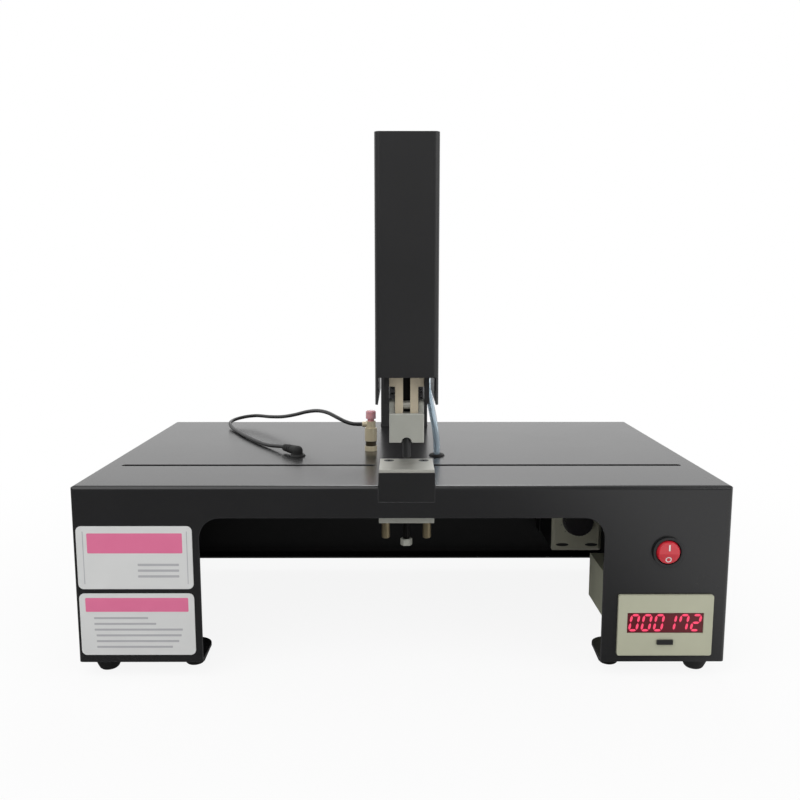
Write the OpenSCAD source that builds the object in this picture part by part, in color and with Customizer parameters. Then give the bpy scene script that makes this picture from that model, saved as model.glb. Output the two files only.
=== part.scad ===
// Pneumatic bench stapler: a folded sheet table on rubber feet, a C-shaped press frame through
// its middle, a tall covered cylinder over the stapling head, and a counter and switch on one leg.
// Inside the modules x runs across, s runs back from the front panel, z rises from the table top.

/* [Table] */
// Width across both legs
table_w = 495; // [460:1:560]
// Depth from the front panel to the rear edge
table_d = 290; // [280:1:340]
// Height from the legs' underside to the table top
leg_h = 138; // [136:1:170]
// Thickness of the folded sheet
sheet = 2; // [1.6:0.1:2.4]
// Outside radius of the sheet's bends
bend_r = 3; // [2.6:0.1:6]
// Height of the front skirt over the arch
skirt_h = 24.5; // [20:0.5:30]
// Width of each leg
leg_w = 95; // [90:1:105]
// Radius of the arch's top corners
arch_r = 16; // [8:1:30]
// Depth of the return flange under each leg
leg_flange = 41; // [41:1:60]
// Width of the return flange under each side
side_flange = 30; // [28:1:40]
// Height of the lip along the rear edge
rear_lip = 12; // [8:1:20]
// Distance of the rear panel from the rear edge
rear_inset = 40; // [36:1:60]

/* [Guide slots] */
// Width of the two guide slots
slot_w = 6; // [5:0.5:8]
// Distance of the slots behind the front panel
slot_s = 72; // [60:1:90]
// Distance of a slot's outer end from the table's side
slot_margin = 15; // [10:1:40]
// Distance of a slot's inner end from the table's centre
slot_inner = 21.5; // [21.5:0.5:50]

/* [Feet] */
// Height of a rubber foot
foot_h = 13; // [10:1:18]
// Diameter of a foot where it meets the leg
foot_top_d = 24; // [20:1:26]
// Diameter of a foot where it stands
foot_base_d = 15; // [13:1:18]
// Distance of the front outer feet from the table's side
foot_outer_x = 16; // [14:0.5:20]
// Distance of the front outer feet from the front
foot_outer_s = 20; // [16:1:26]
// Distance of the front inner feet from the leg's inner edge
foot_inner_x = 13; // [13:1:24]
// Distance of the front inner feet from the front
foot_inner_s = 28; // [26:1:28]
// Distance of the rear feet from the rear edge
foot_rear_s = 55; // [50:1:90]

/* [Press frame] */
// Distance of the head's centre line from the table's centre
head_x = 3.5; // [0:0.5:6]
// Distance of the press axis behind the front panel
axis_s = 24; // [23:0.5:26]
// Width of the beam under the table
beam_w = 34; // [28:1:36]
// Height of the beam under the table
beam_h = 22; // [18:1:26]
// Width of the rear column
column_w = 49; // [44:1:54]
// Thickness of the rear column
column_t = 25; // [24:1:28]
// Width of the upper arm
arm_w = 28; // [26:0.5:28]
// Height of the upper arm
arm_h = 60; // [54:1:70]
// Height of the guide block at the arm's front
block_h = 22; // [20:1:28]
// Drop of the arm's underside below the guide block
arm_drop = 16; // [10:1:20]

/* [Anvil] */
// Width of the anvil pedestal
pedestal_w = 42; // [40:1:46]
// Depth of the anvil pedestal
pedestal_d = 40; // [38:1:44]
// Height of the pedestal over the table
pedestal_rise = 10; // [8:0.5:14]
// Drop of the pedestal's front lip below the table top
lip_drop = 12; // [8:0.5:14]
// Thickness of the anvil plate
anvil_t = 2.5; // [2.2:0.1:4]
// Setback of the anvil plate from the pedestal's edges
anvil_inset = 0.5; // [0.2:0.1:2]
// Thickness of the clamp plate under the beam
clamp_t = 7; // [6:0.5:12]
// Diameter of the two clamp posts
post_d = 6.5; // [6:0.5:9]
// Half the distance between the posts
post_x = 16; // [13:0.5:17]
// Length of the posts below the clamp plate
post_reach = 16; // [10:1:20]
// Diameter of the jack screw
jack_d = 5; // [5:0.5:8]
// Length of the jack screw below the clamp plate
jack_reach = 22; // [18:1:26]

/* [Head] */
// Travel of the stapling head down to the paper
head_stroke = 18; // [14:0.5:20]
// Travel of the driver beyond the head's own
drive_stroke = 12; // [10:0.5:12]
// Room left for paper under the lowered nose
paper_gap = 0.5; // [0.3:0.1:1.5]
// Width of the nose block
nose_w = 26; // [25:0.5:27]
// Height of the nose block
nose_h = 22; // [20:0.5:26]
// Setback of the nose's front face from the front panel
nose_s = 10; // [9:0.5:10.5]
// Depth of the nose block from front to back
nose_d = 26; // [25.5:0.5:30]
// Width of one hanger strap
strap_w = 6; // [5:0.5:7]
// Gap between the two straps
strap_gap = 5.4; // [5:0.2:7]
// Thickness of the hanger plate
hanger_t = 3; // [2.5:0.1:3.2]
// Height from the nose's top to the hanger's cross plate
hanger_h = 69; // [62:1:75]
// Height over the nose where the straps widen to shoulders
shoulder_z = 20; // [16:1:28]
// Diameter of the hanger pin
pin_d = 6.6; // [5:0.2:6.8]
// Height of the ram block
ram_h = 21; // [16:1:24]
// Width of the driver blade
driver_w = 13; // [12:0.5:14]
// Thickness of the driver blade
driver_t = 1.2; // [0.8:0.1:1.6]
// Thickness of a guide cheek
cheek_t = 3.5; // [3:0.1:4]
// Diameter of the hold-down plunger
plunger_d = 6; // [5:0.2:6.4]
// Gap between the plunger's tip and the anvil at rest
plunger_gap = 6.5; // [5:0.5:8]

/* [Magazine] */
// Length of the magazine behind the nose
magazine_l = 128; // [115:1:150]
// Thickness of the magazine's walls
magazine_wall = 1.5; // [1:0.1:2]
// Height of a staple
staple_h = 10.2; // [8:0.2:10.4]
// Thickness of the staple wire
staple_t = 0.6; // [0.4:0.05:0.8]
// Length of the staple strip
strip_l = 60; // [40:1:66]
// Length of the staple pusher
pusher_l = 18; // [14:1:22]
// Travel of the pusher when it is drawn back
pusher_travel = 42; // [30:1:42]

/* [Cylinder] */
// Bore of the air cylinder
bore_d = 32; // [28:0.5:33]
// Wall of the cylinder barrel
barrel_wall = 2.5; // [2:0.1:3]
// Width of the square end caps
cap_w = 40; // [38.5:0.5:41]
// Thickness of each end cap
cap_t = 13; // [12:0.5:18]
// Diameter of the piston rod
rod_d = 10; // [8:0.5:12]
// Height of the piston
piston_h = 14; // [12:0.5:18]
// Room below the lowered piston for the closed return spring
spring_room = 16; // [15:0.5:22]
// Diameter of the tie rods
tie_d = 4; // [3:0.2:4.4]

/* [Tower cover] */
// Width of the tower cover
cover_w = 46.5; // [45.5:0.5:48]
// Depth of the tower cover
cover_d = 96; // [96:1:120]
// Radius of the cover's front edges
cover_r = 4; // [3:0.5:6]
// Sheet of the tower cover
cover_sheet = 2; // [1.6:0.1:2]
// Height over the nose where the cover's sides end
cover_lift = 8; // [6:0.5:14]
// Extra height where the cover's front wall ends
front_lift = 20; // [12:1:28]
// Room over the cylinder under the cover's top
headroom = 12; // [6:1:20]

/* [Counter] */
// Width of the counter's front frame
counter_w = 72; // [68:0.5:74]
// Height of the counter's front frame
counter_h = 48; // [46:0.5:52]
// Distance that the frame stands proud of the leg
counter_proud = 2.5; // [1.5:0.5:7]
// Depth of the counter's case behind the leg
counter_d = 110; // [80:1:120]
// Overlap of the frame past its cutout
counter_lip = 4.5; // [1.5:0.1:5]
// Width of the display window
window_w = 58; // [50:0.5:60]
// Height of the display window
window_h = 16; // [12:0.5:18]
// Width of the reset button
reset_w = 12; // [8:0.5:16]
// Height of the reset button
reset_h = 3.4; // [3:0.2:5]
// Travel of the reset button
reset_travel = 1.2; // [0.8:0.1:1.4]
// Height of the counter's centre over the leg's underside
counter_rise = 30; // [28:0.5:34]

/* [Rocker switch] */
// Diameter of the switch's frame
rocker_frame_d = 23; // [22:0.5:26]
// Diameter of the rocker's ball
rocker_d = 18.6; // [17:0.2:18.8]
// Diameter of the switch's barrel
rocker_barrel_d = 20.6; // [20.4:0.1:21.4]
// Distance of the switch below the table top
rocker_z = 50.5; // [45:0.5:58]
// Angle that the rocker tips through
rocker_angle = 16; // [10:1:20]

/* [Delay timer] */
// Width and height of the timer
timer_w = 48; // [44:1:50]
// Depth of the timer's box
timer_d = 63; // [50:1:75]
// Depth of the timer's socket
socket_d = 20; // [16:1:28]
// Diameter of the timer's knob
knob_d = 29; // [22:1:32]
// Length of the timer's knob
knob_l = 9; // [6:0.5:14]
// Distance of the timer's centre from the table's side
timer_x = 78; // [74:1:84]
// Distance of the timer's centre below the table top
timer_z = 82; // [70:1:90]

/* [Trigger switch] */
// Diameter of the trigger switch's barrel
trigger_d = 11; // [10:0.5:12]
// Height of the barrel over the table
trigger_h = 27; // [22:1:32]
// Diameter of the red button
button_d = 9; // [7:0.2:9.4]
// Height of the red button over the barrel
button_h = 9.5; // [7:0.5:12]
// Travel of the red button
button_travel = 2; // [1:0.1:3]

/* [Air and power] */
// Width of the solenoid valve
valve_w = 22; // [18:1:23]
// Length of the solenoid valve
valve_l = 72; // [60:1:74]
// Height of the solenoid valve
valve_h = 32; // [30:1:40]
// Outside diameter of the air hose
hose_d = 6; // [4:0.5:6]
// Diameter of the trigger cable
cable_d = 3.5; // [2.5:0.1:3.6]
// Width of a label plate
label_w = 87; // [80:0.5:90]
// Height of a label plate
label_h = 49; // [40:0.5:50]
// Thickness of a label plate
label_t = 0.4; // [0.2:0.1:1]

/* [Hidden] */
$fn = 48;
// Clearances, all per side
fit = 0.1;
screw_fit = 0.05;
seat = 0.3;
// Countersunk screws
screw_d = 4;
screw_head_d = 8;
screw_head_h = 2;
// Frame bolts
bolt_d = 8;
bolt_head_d = 13;
bolt_head_h = 8;
bolt_l = 42;

// Placing
front_proud = counter_proud + reset_travel + seat;
y_front = -(table_d - front_proud) / 2;
table_z = foot_h + leg_h;
rear_s = table_d - rear_inset;
column_s = table_d - sheet - 2 * seat - column_t;
beam_s = sheet + 1;
counter_x = table_w / 2 - leg_w / 2;
counter_z = leg_h - counter_rise;
label_shift = 1;
label_x = -counter_x - label_shift;

// Stack of heights over the table top
anvil_z = pedestal_rise + anvil_t;
nose_z = anvil_z + head_stroke + paper_gap;
nose_top = nose_z + nose_h;
hanger_z = nose_top + hanger_h;
ram_top = hanger_z - seat;
ram_z = ram_top - ram_h;
block_z = hanger_z + hanger_t + 2;
cylinder_z = block_z + block_h;
stroke = head_stroke + drive_stroke;
barrel_l = piston_h + stroke + spring_room + 2;
barrel_z = cylinder_z + cap_t;
top_cap_z = barrel_z + barrel_l;
cylinder_top = top_cap_z + cap_t;
piston_z = top_cap_z - 2 - piston_h;
arm_z = block_z - arm_drop;
arm_top = arm_z + arm_h;
cover_z = nose_top + cover_lift;
cover_top = cylinder_top + tie_d + headroom + cover_sheet;

// Widths and depths at the head
guide_x = nose_w / 2 + fit;
slide_x = guide_x - fit;
hanger_s = nose_s + 3;
hanger_back = hanger_s + hanger_t;
nose_back = nose_s + nose_d;
arm_s = axis_s + cap_w / 2 + seat;
cover_x = cover_w / 2 - cover_sheet;
boss_x = cover_x - arm_w / 2;
pin_s = hanger_back + fit + pin_d / 2;
pin_z = nose_top + 5.4;
plunger_s = nose_s + 4.5;
plunger_z = anvil_z + plunger_gap;
plunger_l = 19;
plunger_floor = 5;
plunger_hollow_d = 4.2;
plunger_rise = head_stroke - plunger_gap + seat;
plunger_bore_top = plunger_z + plunger_l + plunger_rise + 0.5;

// Staples and their rail
staple_half = driver_w / 2;
strip_s = axis_s + driver_t / 2 + 2 * seat;
strip_z = nose_z + 2;
strip_top = strip_z + staple_h;
rail_half = staple_half - staple_t - fit;
rail_top = strip_top - staple_t - screw_fit;
driver_tip = strip_top + seat;
magazine_inner = staple_half + 0.6;
magazine_half = magazine_inner + magazine_wall;
magazine_end = nose_back + magazine_l;
magazine_top = nose_top - 1;
pusher_s = strip_s + strip_l + seat;
pusher_top = rail_top + 5;

// Springs: middle diameter and wire
return_spring_d = 22;
return_wire = 1.6;
return_curls = 8;
follow_spring_d = 5.4;
follow_wire = 1;
follow_curls = 10;
follow_x = 9.2;
follow_s = axis_s + 6;
hold_spring_d = 3;
hold_wire = 0.6;
hold_curls = 10;
pusher_spring_d = 4;
pusher_wire = 0.6;
pusher_curls = 16;

// Screw places
cover_screw_places = [[51, arm_z + 12], [66, arm_z + arm_h - 12]];
back_tab = 6;
back_z = arm_top + 2;
back_screw_zs = [back_z + 10, cover_top - 22];
anvil_screw_x = 13.5;
anvil_screw_s = 33;
table_screw_back = column_s - 40;
table_screw_places = [for (s = [52, table_screw_back], side = [-1, 1]) [side * 11, s]];
cheek_screw_ss = [axis_s - 10, axis_s + 10];
panel_screw_zs = [-40, -112];
panel_flange = 14;
panel_lip = 16;
bolt_places = [[-9, -sheet - beam_h / 2], [9, -sheet - beam_h / 2], [0, arm_z + 15], [0, arm_top - 15]];

// Screw lengths
cover_screw_l = cover_sheet + boss_x + 6;
back_screw_l = 2 * cover_sheet + 2;
anvil_screw_l = anvil_t + pedestal_rise - 3;
table_screw_l = sheet + 12;
cheek_screw_l = cheek_t + 6;
panel_screw_l = 2 * sheet + 3;
cross_w = 0.9;
cross_l = 4.4;
cross_h = 1.2;

// Feet and their screws
foot_recess = 4;
foot_head_h = 2.4;
foot_nut_d = 8;
foot_nut_h = 3.2;
leg_corner_r = 13;

// Anvil studs
stud_reach = 4;
stud_chamfer = 0.8;
jack_nut_d = jack_d + 4.2;
jack_nut_h = 5;
clamp_d = 30;
pocket_d = 2.4;
pocket_l = 5.2;

// Cylinder parts
spigot_d = 18;
spigot_h = 8;
cover_boss_d = 9;
tie_depth = 4;
tie_nut_h = 3.2;
port_x = 6.5;
port_bore = 4;
port_thread_d = 8;
port_thread_l = 8;
port_hex_d = 11.5;
port_hex_l = 6;
port_l = 18;
port_collar_d = 10;
hose_depth = 8;
seal_d = 2;
seal_zs = [3.4, piston_h - 3.4];
piston_crown = 3;
ram_socket = 12;
ram_back = axis_s + 10;
driver_depth = 5;

// Hanger and magazine parts
tongue_inset = 1.4;
tongue_outset = 0.4;
tongue_l = 7;
ear_wall = 1.2;
plunger_chamfer = 0.5;
nose_window_d = 8;
rail_floor_h = 1.6;
end_wall = 2;
pusher_tab = 2;
pusher_tab_s = 4;
pusher_tab_h = 5;

// Switch, counter and timer parts
rocker_s = 1;
rocker_pin_d = 2.4;
rocker_lip = 2.5;
rocker_cup = 10.5;
rocker_barrel_l = 19.5;
rocker_ridge = 5.4;
rocker_back = 4;
lug = [0.8, 8, 6];
lug_x = 5;
counter_wall = 2;
counter_face = 7;
counter_corner = 1.5;
window_t = 2;
window_recess = 0.8;
window_z = 2;
reset_z = -13;
reset_l = 6.3;
terminal_d = 5;
terminal_count = 6;
terminal_block = 10;
timer_s = rear_s - socket_d - timer_d;
timer_at = table_w / 2 - timer_x;
timer_wall = 2;
timer_front = 6;
timer_bevel = 3;
socket_lip = 1;
socket_hole_d = 4;
knob_z = 7;
knob_shaft_d = 6;
knob_shaft_l = 4.5;
knob_top = 0.9;
knob_skirt_h = 3;
knob_cone_h = 1.5;
knob_mark = [1.2, 0.8, 6.4];

// Air and power parts
air_nut_d = 17;
air_nut_l = 7;
air_plug_d = 11;
air_plug_l = 20;
air_bore = 5;
coil_h = 26;
coil_l = 30;
coil_gap = 14;
coil_s = [rear_s - coil_gap - coil_l, rear_s - coil_gap];
inlet_inset = 97.5;
inlet_x = -table_w / 2 + inlet_inset;
inlet_z = -72;
inlet_w = 27;
inlet_h = 20;
inlet_wall = 1.8;
inlet_back = 20;
inlet_flange_w = 50;
inlet_pins = [[-7, -2], [0, 2], [7, -2]];
label_gap = 3.5;
label_corner = 4;
label_margin = 6;
label_last = -leg_h + label_margin + label_h / 2;
label_zs = [label_last + label_h + label_gap, label_last];

// Feet places
foot_places = [
    for (side = [-1, 1])
        each [
            [side * (table_w / 2 - foot_outer_x), foot_outer_s],
            [side * (table_w / 2 - leg_w + foot_inner_x), foot_inner_s],
            [side * (table_w / 2 - side_flange / 2 - sheet / 2), table_d - foot_rear_s]
        ]
];

// Trigger switch, hose and cable: routes as x, s, z
trigger_x = -27.5;
trigger_s = 134;
trigger_thread_d = trigger_d - 2;
trigger_thread_l = 9;
stem_d = button_d - 3;
stem_l = 14;
button_chamfer = 1;
trigger_neck_d = stem_d + 2.6;
trigger_neck_h = 6.2;
trigger_ring_h = 4.5;
trigger_groove_h = 4.5;
trigger_groove = 0.6;
gland_d = 5;
gland_z = trigger_h - 3;
grommet_d = 10;
grommet_flange = 14;
grommet_lip = 1.6;
cable_hole = [-91, 109.5];
// Rubber boot that leads the cable into the table
boot_d = 9;
boot_tip_d = 6.4;
boot_l = 20;
boot_bore = 13;
boot_turn = 131;
boot_z = boot_d / 2 + fit;
hose_hole = [31, 111];
valve_x = 44;
hose_port_z = -26;
valve_port = 10;
hose_inset = 2;
hose_run = rear_s - valve_l - hose_inset - hose_hole[1];
// Under the table: x, share of the run from the hole back to the valve, z
hose_below = [
    [44, 1, -26], [44, 0.915, -26], [44, 0.823, -26], [43, 0.692, -26], [40.4, 0.538, -26],
    [36.9, 0.38, -25.9], [34, 0.228, -24.1], [32.1, 0.108, -19], [31.2, 0.028, -11.2]
];
hose_above = [
    [31, 111, -2], [31, 111, 7], [30.2, 110.8, 19], [27.6, 110.3, 35], [24.5, 108.3, 51],
    [22, 103.2, 67], [21, 95, 86], [21, 87.6, 107], [21, 84.1, 130], [21, 83.3, 150], [21, 83.7, 164],
    [20.6, 84.2, 176], [19, 84.6, 187], [16.3, 84.9, 197.5], [13.4, 84.9, 207], [11.5, 84, 213.7],
    [10.6, 81.6, 219.6], [10.2, 77.6, 224.5], [10, 72.3, 228.2], [10, 66.6, 230.1], [10, 60.5, 230.5],
    [10, 55.5, 230.5]
];
hose_route = concat([for (p = hose_below) [p[0], hose_hole[1] + p[1] * hose_run, p[2]]], hose_above);
cable_above = [
    [-35.5, 134, 24], [-40.5, 134, 24.1], [-45.7, 134.6, 24.7], [-51.6, 137.6, 26.2], [-59, 145, 28.6],
    [-69, 159, 30.8], [-80, 175.5, 30], [-92.5, 193, 26.2], [-106, 211, 20.6], [-121.3, 230.8, 15.4],
    [-137, 249.4, 12.4], [-146.2, 260, 11.4], [-153.7, 267.7, 10.6], [-158.9, 271.2, 9.8],
    [-164.8, 272.5, 9], [-170.7, 271.3, 8], [-175.7, 268, 7], [-179, 263, 6], [-180.2, 257.1, 4.9],
    [-179.2, 251.2, 3.9], [-176.9, 245.2, 3], [-173.2, 237.2, 2.2], [-166.2, 222.6, 2],
    [-158.9, 207.5, 2], [-150.9, 192.3, 2], [-142.7, 178, 2], [-134.8, 164.5, 2], [-127, 152.6, 2.1],
    [-120.3, 143.8, 2.6], [-114, 136.3, 3.6]
];
// In the boot: distances from its hole
cable_end = [
    for (d = [boot_l + 6, boot_l, boot_l - 6, boot_l - 12])
        [cable_hole[0] + d * cos(boot_turn), cable_hole[1] + d * sin(boot_turn), boot_z]
];
cable_route = concat(cable_above, cable_end);
hose_steps = 2;
cable_steps = 2;

// Helpers: placing, boxes and screws
module on_table() {
    translate([0, y_front, table_z]) children();
}

module on_head() {
    translate([head_x, y_front, table_z]) children();
}

// A box between two x, two s and two z values
module span(x, s, z) {
    translate([x[0], s[0], z[0]]) cube([x[1] - x[0], s[1] - s[0], z[1] - z[0]]);
}

// An x range on the right for side 1, or its mirror image for side -1
function sided(side, a, b) = side > 0 ? [a, b] : [-b, -a];

// A cylinder along s from a given place
module rod_back(d, l) {
    rotate([-90, 0, 0]) cylinder(d = d, h = l);
}

// A cylinder along x, to the right for side 1 and to the left for side -1
module rod_across(d, l, side = 1) {
    rotate([0, side * 90, 0]) cylinder(d = d, h = l);
}

// A box whose two front upright edges are round
module front_rounded(w, d, h, r) {
    linear_extrude(h) {
        translate([-w / 2, r]) square([w, d - r]);
        translate([-w / 2 + r, 0]) square([w - 2 * r, d]);
        for (side = [-1, 1]) translate([side * (w / 2 - r), r]) circle(r);
    }
}

// A box standing on z = 0 whose front, side and top bends share one radius
module folded_block(w, d, h, r) {
    intersection() {
        front_rounded(w, d, h, r);
        translate([0, d, 0]) rotate([90, 0, 0]) linear_extrude(d) {
            translate([-w / 2, 0]) square([w, h - r]);
            translate([-w / 2 + r, 0]) square([w - 2 * r, h]);
            for (side = [-1, 1]) translate([side * (w / 2 - r), h - r]) circle(r);
        }
        translate([-w / 2, 0, 0]) rotate([90, 0, 90]) linear_extrude(w) {
            square([d, h - r]);
            translate([r, 0]) square([d - r, h]);
            translate([r, h - r]) circle(r);
        }
    }
}

// A flat plate with four round corners, standing in the x-z plane with its front at s = 0
module round_plate(w, h, t, r) {
    translate([0, t, 0]) rotate([90, 0, 0]) linear_extrude(t) {
        square([w - 2 * r, h], center = true);
        square([w, h - 2 * r], center = true);
        for (sx = [-1, 1], sz = [-1, 1]) translate([sx * (w / 2 - r), sz * (h / 2 - r)]) circle(r);
    }
}

// A countersunk screw whose head's face is at z = 0 and whose shank points down
module flat_screw(l) {
    difference() {
        union() {
            translate([0, 0, -screw_head_h]) cylinder(d1 = screw_d, d2 = screw_head_d, h = screw_head_h);
            translate([0, 0, -l]) cylinder(d = screw_d, h = l - screw_head_h / 2);
        }
        translate([0, 0, -cross_h]) cross_recess();
    }
}

// The cross cut into a screw's head, from z = 0 up
module cross_recess() {
    for (a = [0, 90])
        rotate([0, 0, a]) translate([-cross_l / 2, -cross_w / 2, 0]) cube([cross_l, cross_w, 2 * cross_h]);
}

module flat_screw_hole(l) {
    d = screw_d + 2 * screw_fit;
    head = screw_head_d + 2 * screw_fit;
    translate([0, 0, -screw_head_h]) cylinder(d1 = d, d2 = head, h = screw_head_h);
    translate([0, 0, -l - seat]) cylinder(d = d, h = l + seat);
    cylinder(d = head, h = 1);
}

// Every countersunk screw of the machine, each as its own child placed with its hole
module each_cover_screw() {
    for (side = [-1, 1], p = cover_screw_places)
        translate([side * cover_w / 2, p[0], p[1]]) rotate([0, side * 90, 0]) children();
}

module each_back_screw() {
    for (side = [-1, 1], z = back_screw_zs)
        translate([side * cover_w / 2, cover_d - cover_sheet - back_tab / 2, z])
            rotate([0, side * 90, 0]) children();
}

module each_anvil_screw() {
    for (side = [-1, 1]) translate([side * anvil_screw_x, anvil_screw_s, anvil_z]) children();
}

module each_table_screw() {
    for (p = table_screw_places) translate([p[0], p[1], 0]) children();
}

module each_cheek_screw() {
    for (side = [-1, 1], s = cheek_screw_ss)
        translate([side * (guide_x + cheek_t), s, block_z + block_h / 2])
            rotate([0, side * 90, 0]) children();
}

module each_panel_screw() {
    for (side = [-1, 1], z = panel_screw_zs)
        translate([side * table_w / 2, rear_s - panel_flange / 2, z]) rotate([0, side * 90, 0]) children();
}

// A tube swept along points with round sections, as one closed surface
function unit(v) = v / norm(v);

function heading(p, i) = unit(p[min(i + 1, len(p) - 1)] - p[max(i - 1, 0)]);

function carried(p, list, i) =
    i == len(p)
        ? list
        : let (t = heading(p, i), n = list[i - 1])
            carried(p, concat(list, [unit(n - t * (n * t))]), i + 1);

function side_normals(p) =
    let (t = heading(p, 0), ref = abs(t[2]) < 0.9 ? [0, 0, 1] : [1, 0, 0])
        carried(p, [unit(cross(t, ref))], 1);

module swept_tube(p, d, sides) {
    normals = side_normals(p);
    last = len(p) - 1;
    points = [
        for (i = [0 : last])
            let (t = heading(p, i), n = normals[i], b = cross(t, n))
                for (k = [0 : sides - 1])
                    p[i] + d / 2 * (cos(360 * k / sides) * n + sin(360 * k / sides) * b)
    ];
    walls = [
        for (i = [0 : last - 1], k = [0 : sides - 1])
            let (a = i * sides + k, b = i * sides + (k + 1) % sides)
                each [[a, a + sides, b], [b, a + sides, b + sides]]
    ];
    start = [for (k = [1 : sides - 2]) [0, k, k + 1]];
    end = [for (k = [1 : sides - 2]) [last * sides, last * sides + k + 1, last * sides + k]];
    polyhedron(points, concat(walls, start, end));
}

// A smooth curve through the hand-chosen points of a route
function curve_point(a, b, c, d, t) =
    0.5 * (2 * b + (c - a) * t + (2 * a - 5 * b + 4 * c - d) * t * t + (3 * b - a - 3 * c + d) * t * t * t);

function smooth_route(p, steps) = [
    for (i = [0 : len(p) - 2], j = [0 : steps - 1])
        curve_point(p[max(i - 1, 0)], p[i], p[i + 1], p[min(i + 2, len(p) - 1)], j / steps),
    p[len(p) - 1]
];

// A coil spring standing on z = 0: points at eight to a curl, set in from both ends by half the wire
function coil_points(d, wire, l, curls) = [
    for (i = [0 : 8 * curls])
        [d / 2 * cos(45 * i), d / 2 * sin(45 * i), wire / 2 + fit + (l - wire - 2 * fit) * i / (8 * curls)]
];

function least_gap(p, wire) =
    min([for (i = [0 : len(p) - 6], j = [i + 5 : min(i + 11, len(p) - 1)]) norm(p[i] - p[j])]) - wire;

module coil_spring(d, wire, l, curls) {
    p = coil_points(d, wire, l, curls);
    echo(least_gap_mm = least_gap(p, wire));
    swept_tube(p, wire, 6);
}

// Table
module table_shell() {
    color("#2b2b2c") on_table() difference() {
        union() {
            difference() {
                translate([0, 0, -leg_h]) folded_block(table_w, table_d, leg_h, bend_r);
                translate([0, sheet, -leg_h - 1])
                    folded_block(table_w - 2 * sheet, table_d, leg_h - sheet + 1, bend_r - sheet);
            }
            span([-table_w / 2 + 1, table_w / 2 - 1], [table_d - sheet, table_d], [-rear_lip, -1]);
            for (side = [-1, 1]) leg_flanges(side);
        }
        arch_cut();
        translate([head_x, 0, 0]) {
            notch = pedestal_w / 2 + fit;
            span([-notch, notch], [-1, pedestal_d + fit], [-sheet - 1, 1]);
            span([-notch, notch], [-1, sheet + 1], [-lip_drop - fit, 1]);
            column = column_w / 2 + seat;
            span([-column, column], [column_s - seat, column_s + column_t + seat], [-sheet - 1, 1]);
            each_table_screw() flat_screw_hole(table_screw_l);
        }
        for (side = [-1, 1]) guide_slot(side);
        translate([cable_hole[0], cable_hole[1], -sheet - 1]) cylinder(d = grommet_d, h = sheet + 2);
        translate([hose_hole[0], hose_hole[1], -sheet - 1]) cylinder(d = grommet_d, h = sheet + 2);
        translate([trigger_x, trigger_s, -sheet - 1]) cylinder(d = trigger_thread_d + 2 * fit, h = sheet + 2);
        each_panel_screw() flat_screw_hole(panel_screw_l);
        translate([counter_x, -1, -counter_z]) {
            w = counter_w - 2 * counter_lip;
            h = counter_h - 2 * counter_lip;
            translate([-w / 2, 0, -h / 2]) cube([w, sheet + 2, h]);
        }
        translate([counter_x, -1, -rocker_z]) rod_back(rocker_barrel_d + 2 * fit, sheet + 2);
        for (p = foot_places)
            translate([p[0], p[1], -leg_h - 1]) cylinder(d = screw_d + 2 * screw_fit, h = sheet + 2);
    }
}

// The flanges under one leg and one side, with a round corner toward the arch
module leg_flanges(side) {
    inner = table_w / 2 - leg_w;
    outer = table_w / 2 - 1;
    r = leg_corner_r;
    translate([0, 0, -leg_h]) linear_extrude(sheet) mirror([side < 0 ? 1 : 0, 0]) {
        translate([inner, 1]) square([outer - inner, leg_flange - r - 1]);
        translate([inner + r, 1]) square([outer - inner - r, leg_flange - 1]);
        translate([inner + r, leg_flange - r]) circle(r);
        translate([table_w / 2 - side_flange, 1]) square([side_flange - 1, table_d - 1]);
    }
}

// The open arch between the legs, with its two round top corners
module arch_cut() {
    half = table_w / 2 - leg_w;
    translate([0, sheet + 1, 0]) rotate([90, 0, 0]) linear_extrude(sheet + 2) {
        translate([-half, -leg_h - 1]) square([2 * half, leg_h + 1 - skirt_h - arch_r]);
        translate([-half + arch_r, -leg_h - 1]) square([2 * (half - arch_r), leg_h + 1 - skirt_h]);
        for (side = [-1, 1]) translate([side * (half - arch_r), -skirt_h - arch_r]) circle(arch_r);
    }
}

module guide_slot(side) {
    inner = slot_inner + slot_w / 2;
    outer = table_w / 2 - slot_margin - slot_w / 2;
    translate([0, 0, -sheet - 1]) linear_extrude(sheet + 2) {
        for (x = [inner, outer]) translate([side * x, slot_s]) circle(d = slot_w);
        translate([side > 0 ? inner : -outer, slot_s - slot_w / 2]) square([outer - inner, slot_w]);
    }
}

module rear_panel() {
    half = table_w / 2 - sheet - fit;
    z = [-leg_h + sheet + fit, -bend_r - fit];
    slot = beam_w / 2 + seat;
    color("#262627") on_table() difference() {
        union() {
            span([-half, half], [rear_s, rear_s + sheet], z);
            for (side = [-1, 1]) {
                x = sided(side, half - sheet, half);
                span(x, [rear_s - panel_flange, rear_s + 1], z);
            }
            lip = table_w / 2 - side_flange - sheet;
            span([-lip, lip], [rear_s - panel_lip, rear_s + 1], [z[0], z[0] + sheet]);
        }
        span([head_x - slot, head_x + slot], [rear_s - 1, rear_s + sheet + 1], [-sheet - beam_h - seat, 0]);
        each_panel_screw() flat_screw_hole(panel_screw_l);
        translate([valve_x, rear_s - 1, hose_port_z]) rod_back(valve_port + 2 * fit, sheet + 2);
        inlet_cut();
    }
}

module feet() {
    hole = screw_d / 2 + screw_fit;
    head = screw_head_d / 2 + screw_fit;
    color("#1d1d1e") on_table() for (p = foot_places)
        translate([p[0], p[1], -leg_h - foot_h]) rotate_extrude() polygon([
            [hole, foot_h], [foot_top_d / 2, foot_h], [foot_top_d / 2, foot_h - 2],
            [foot_base_d / 2, 1], [foot_base_d / 2 - 1, 0], [head, 0], [head, foot_recess],
            [hole, foot_recess]
        ]);
}

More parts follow.
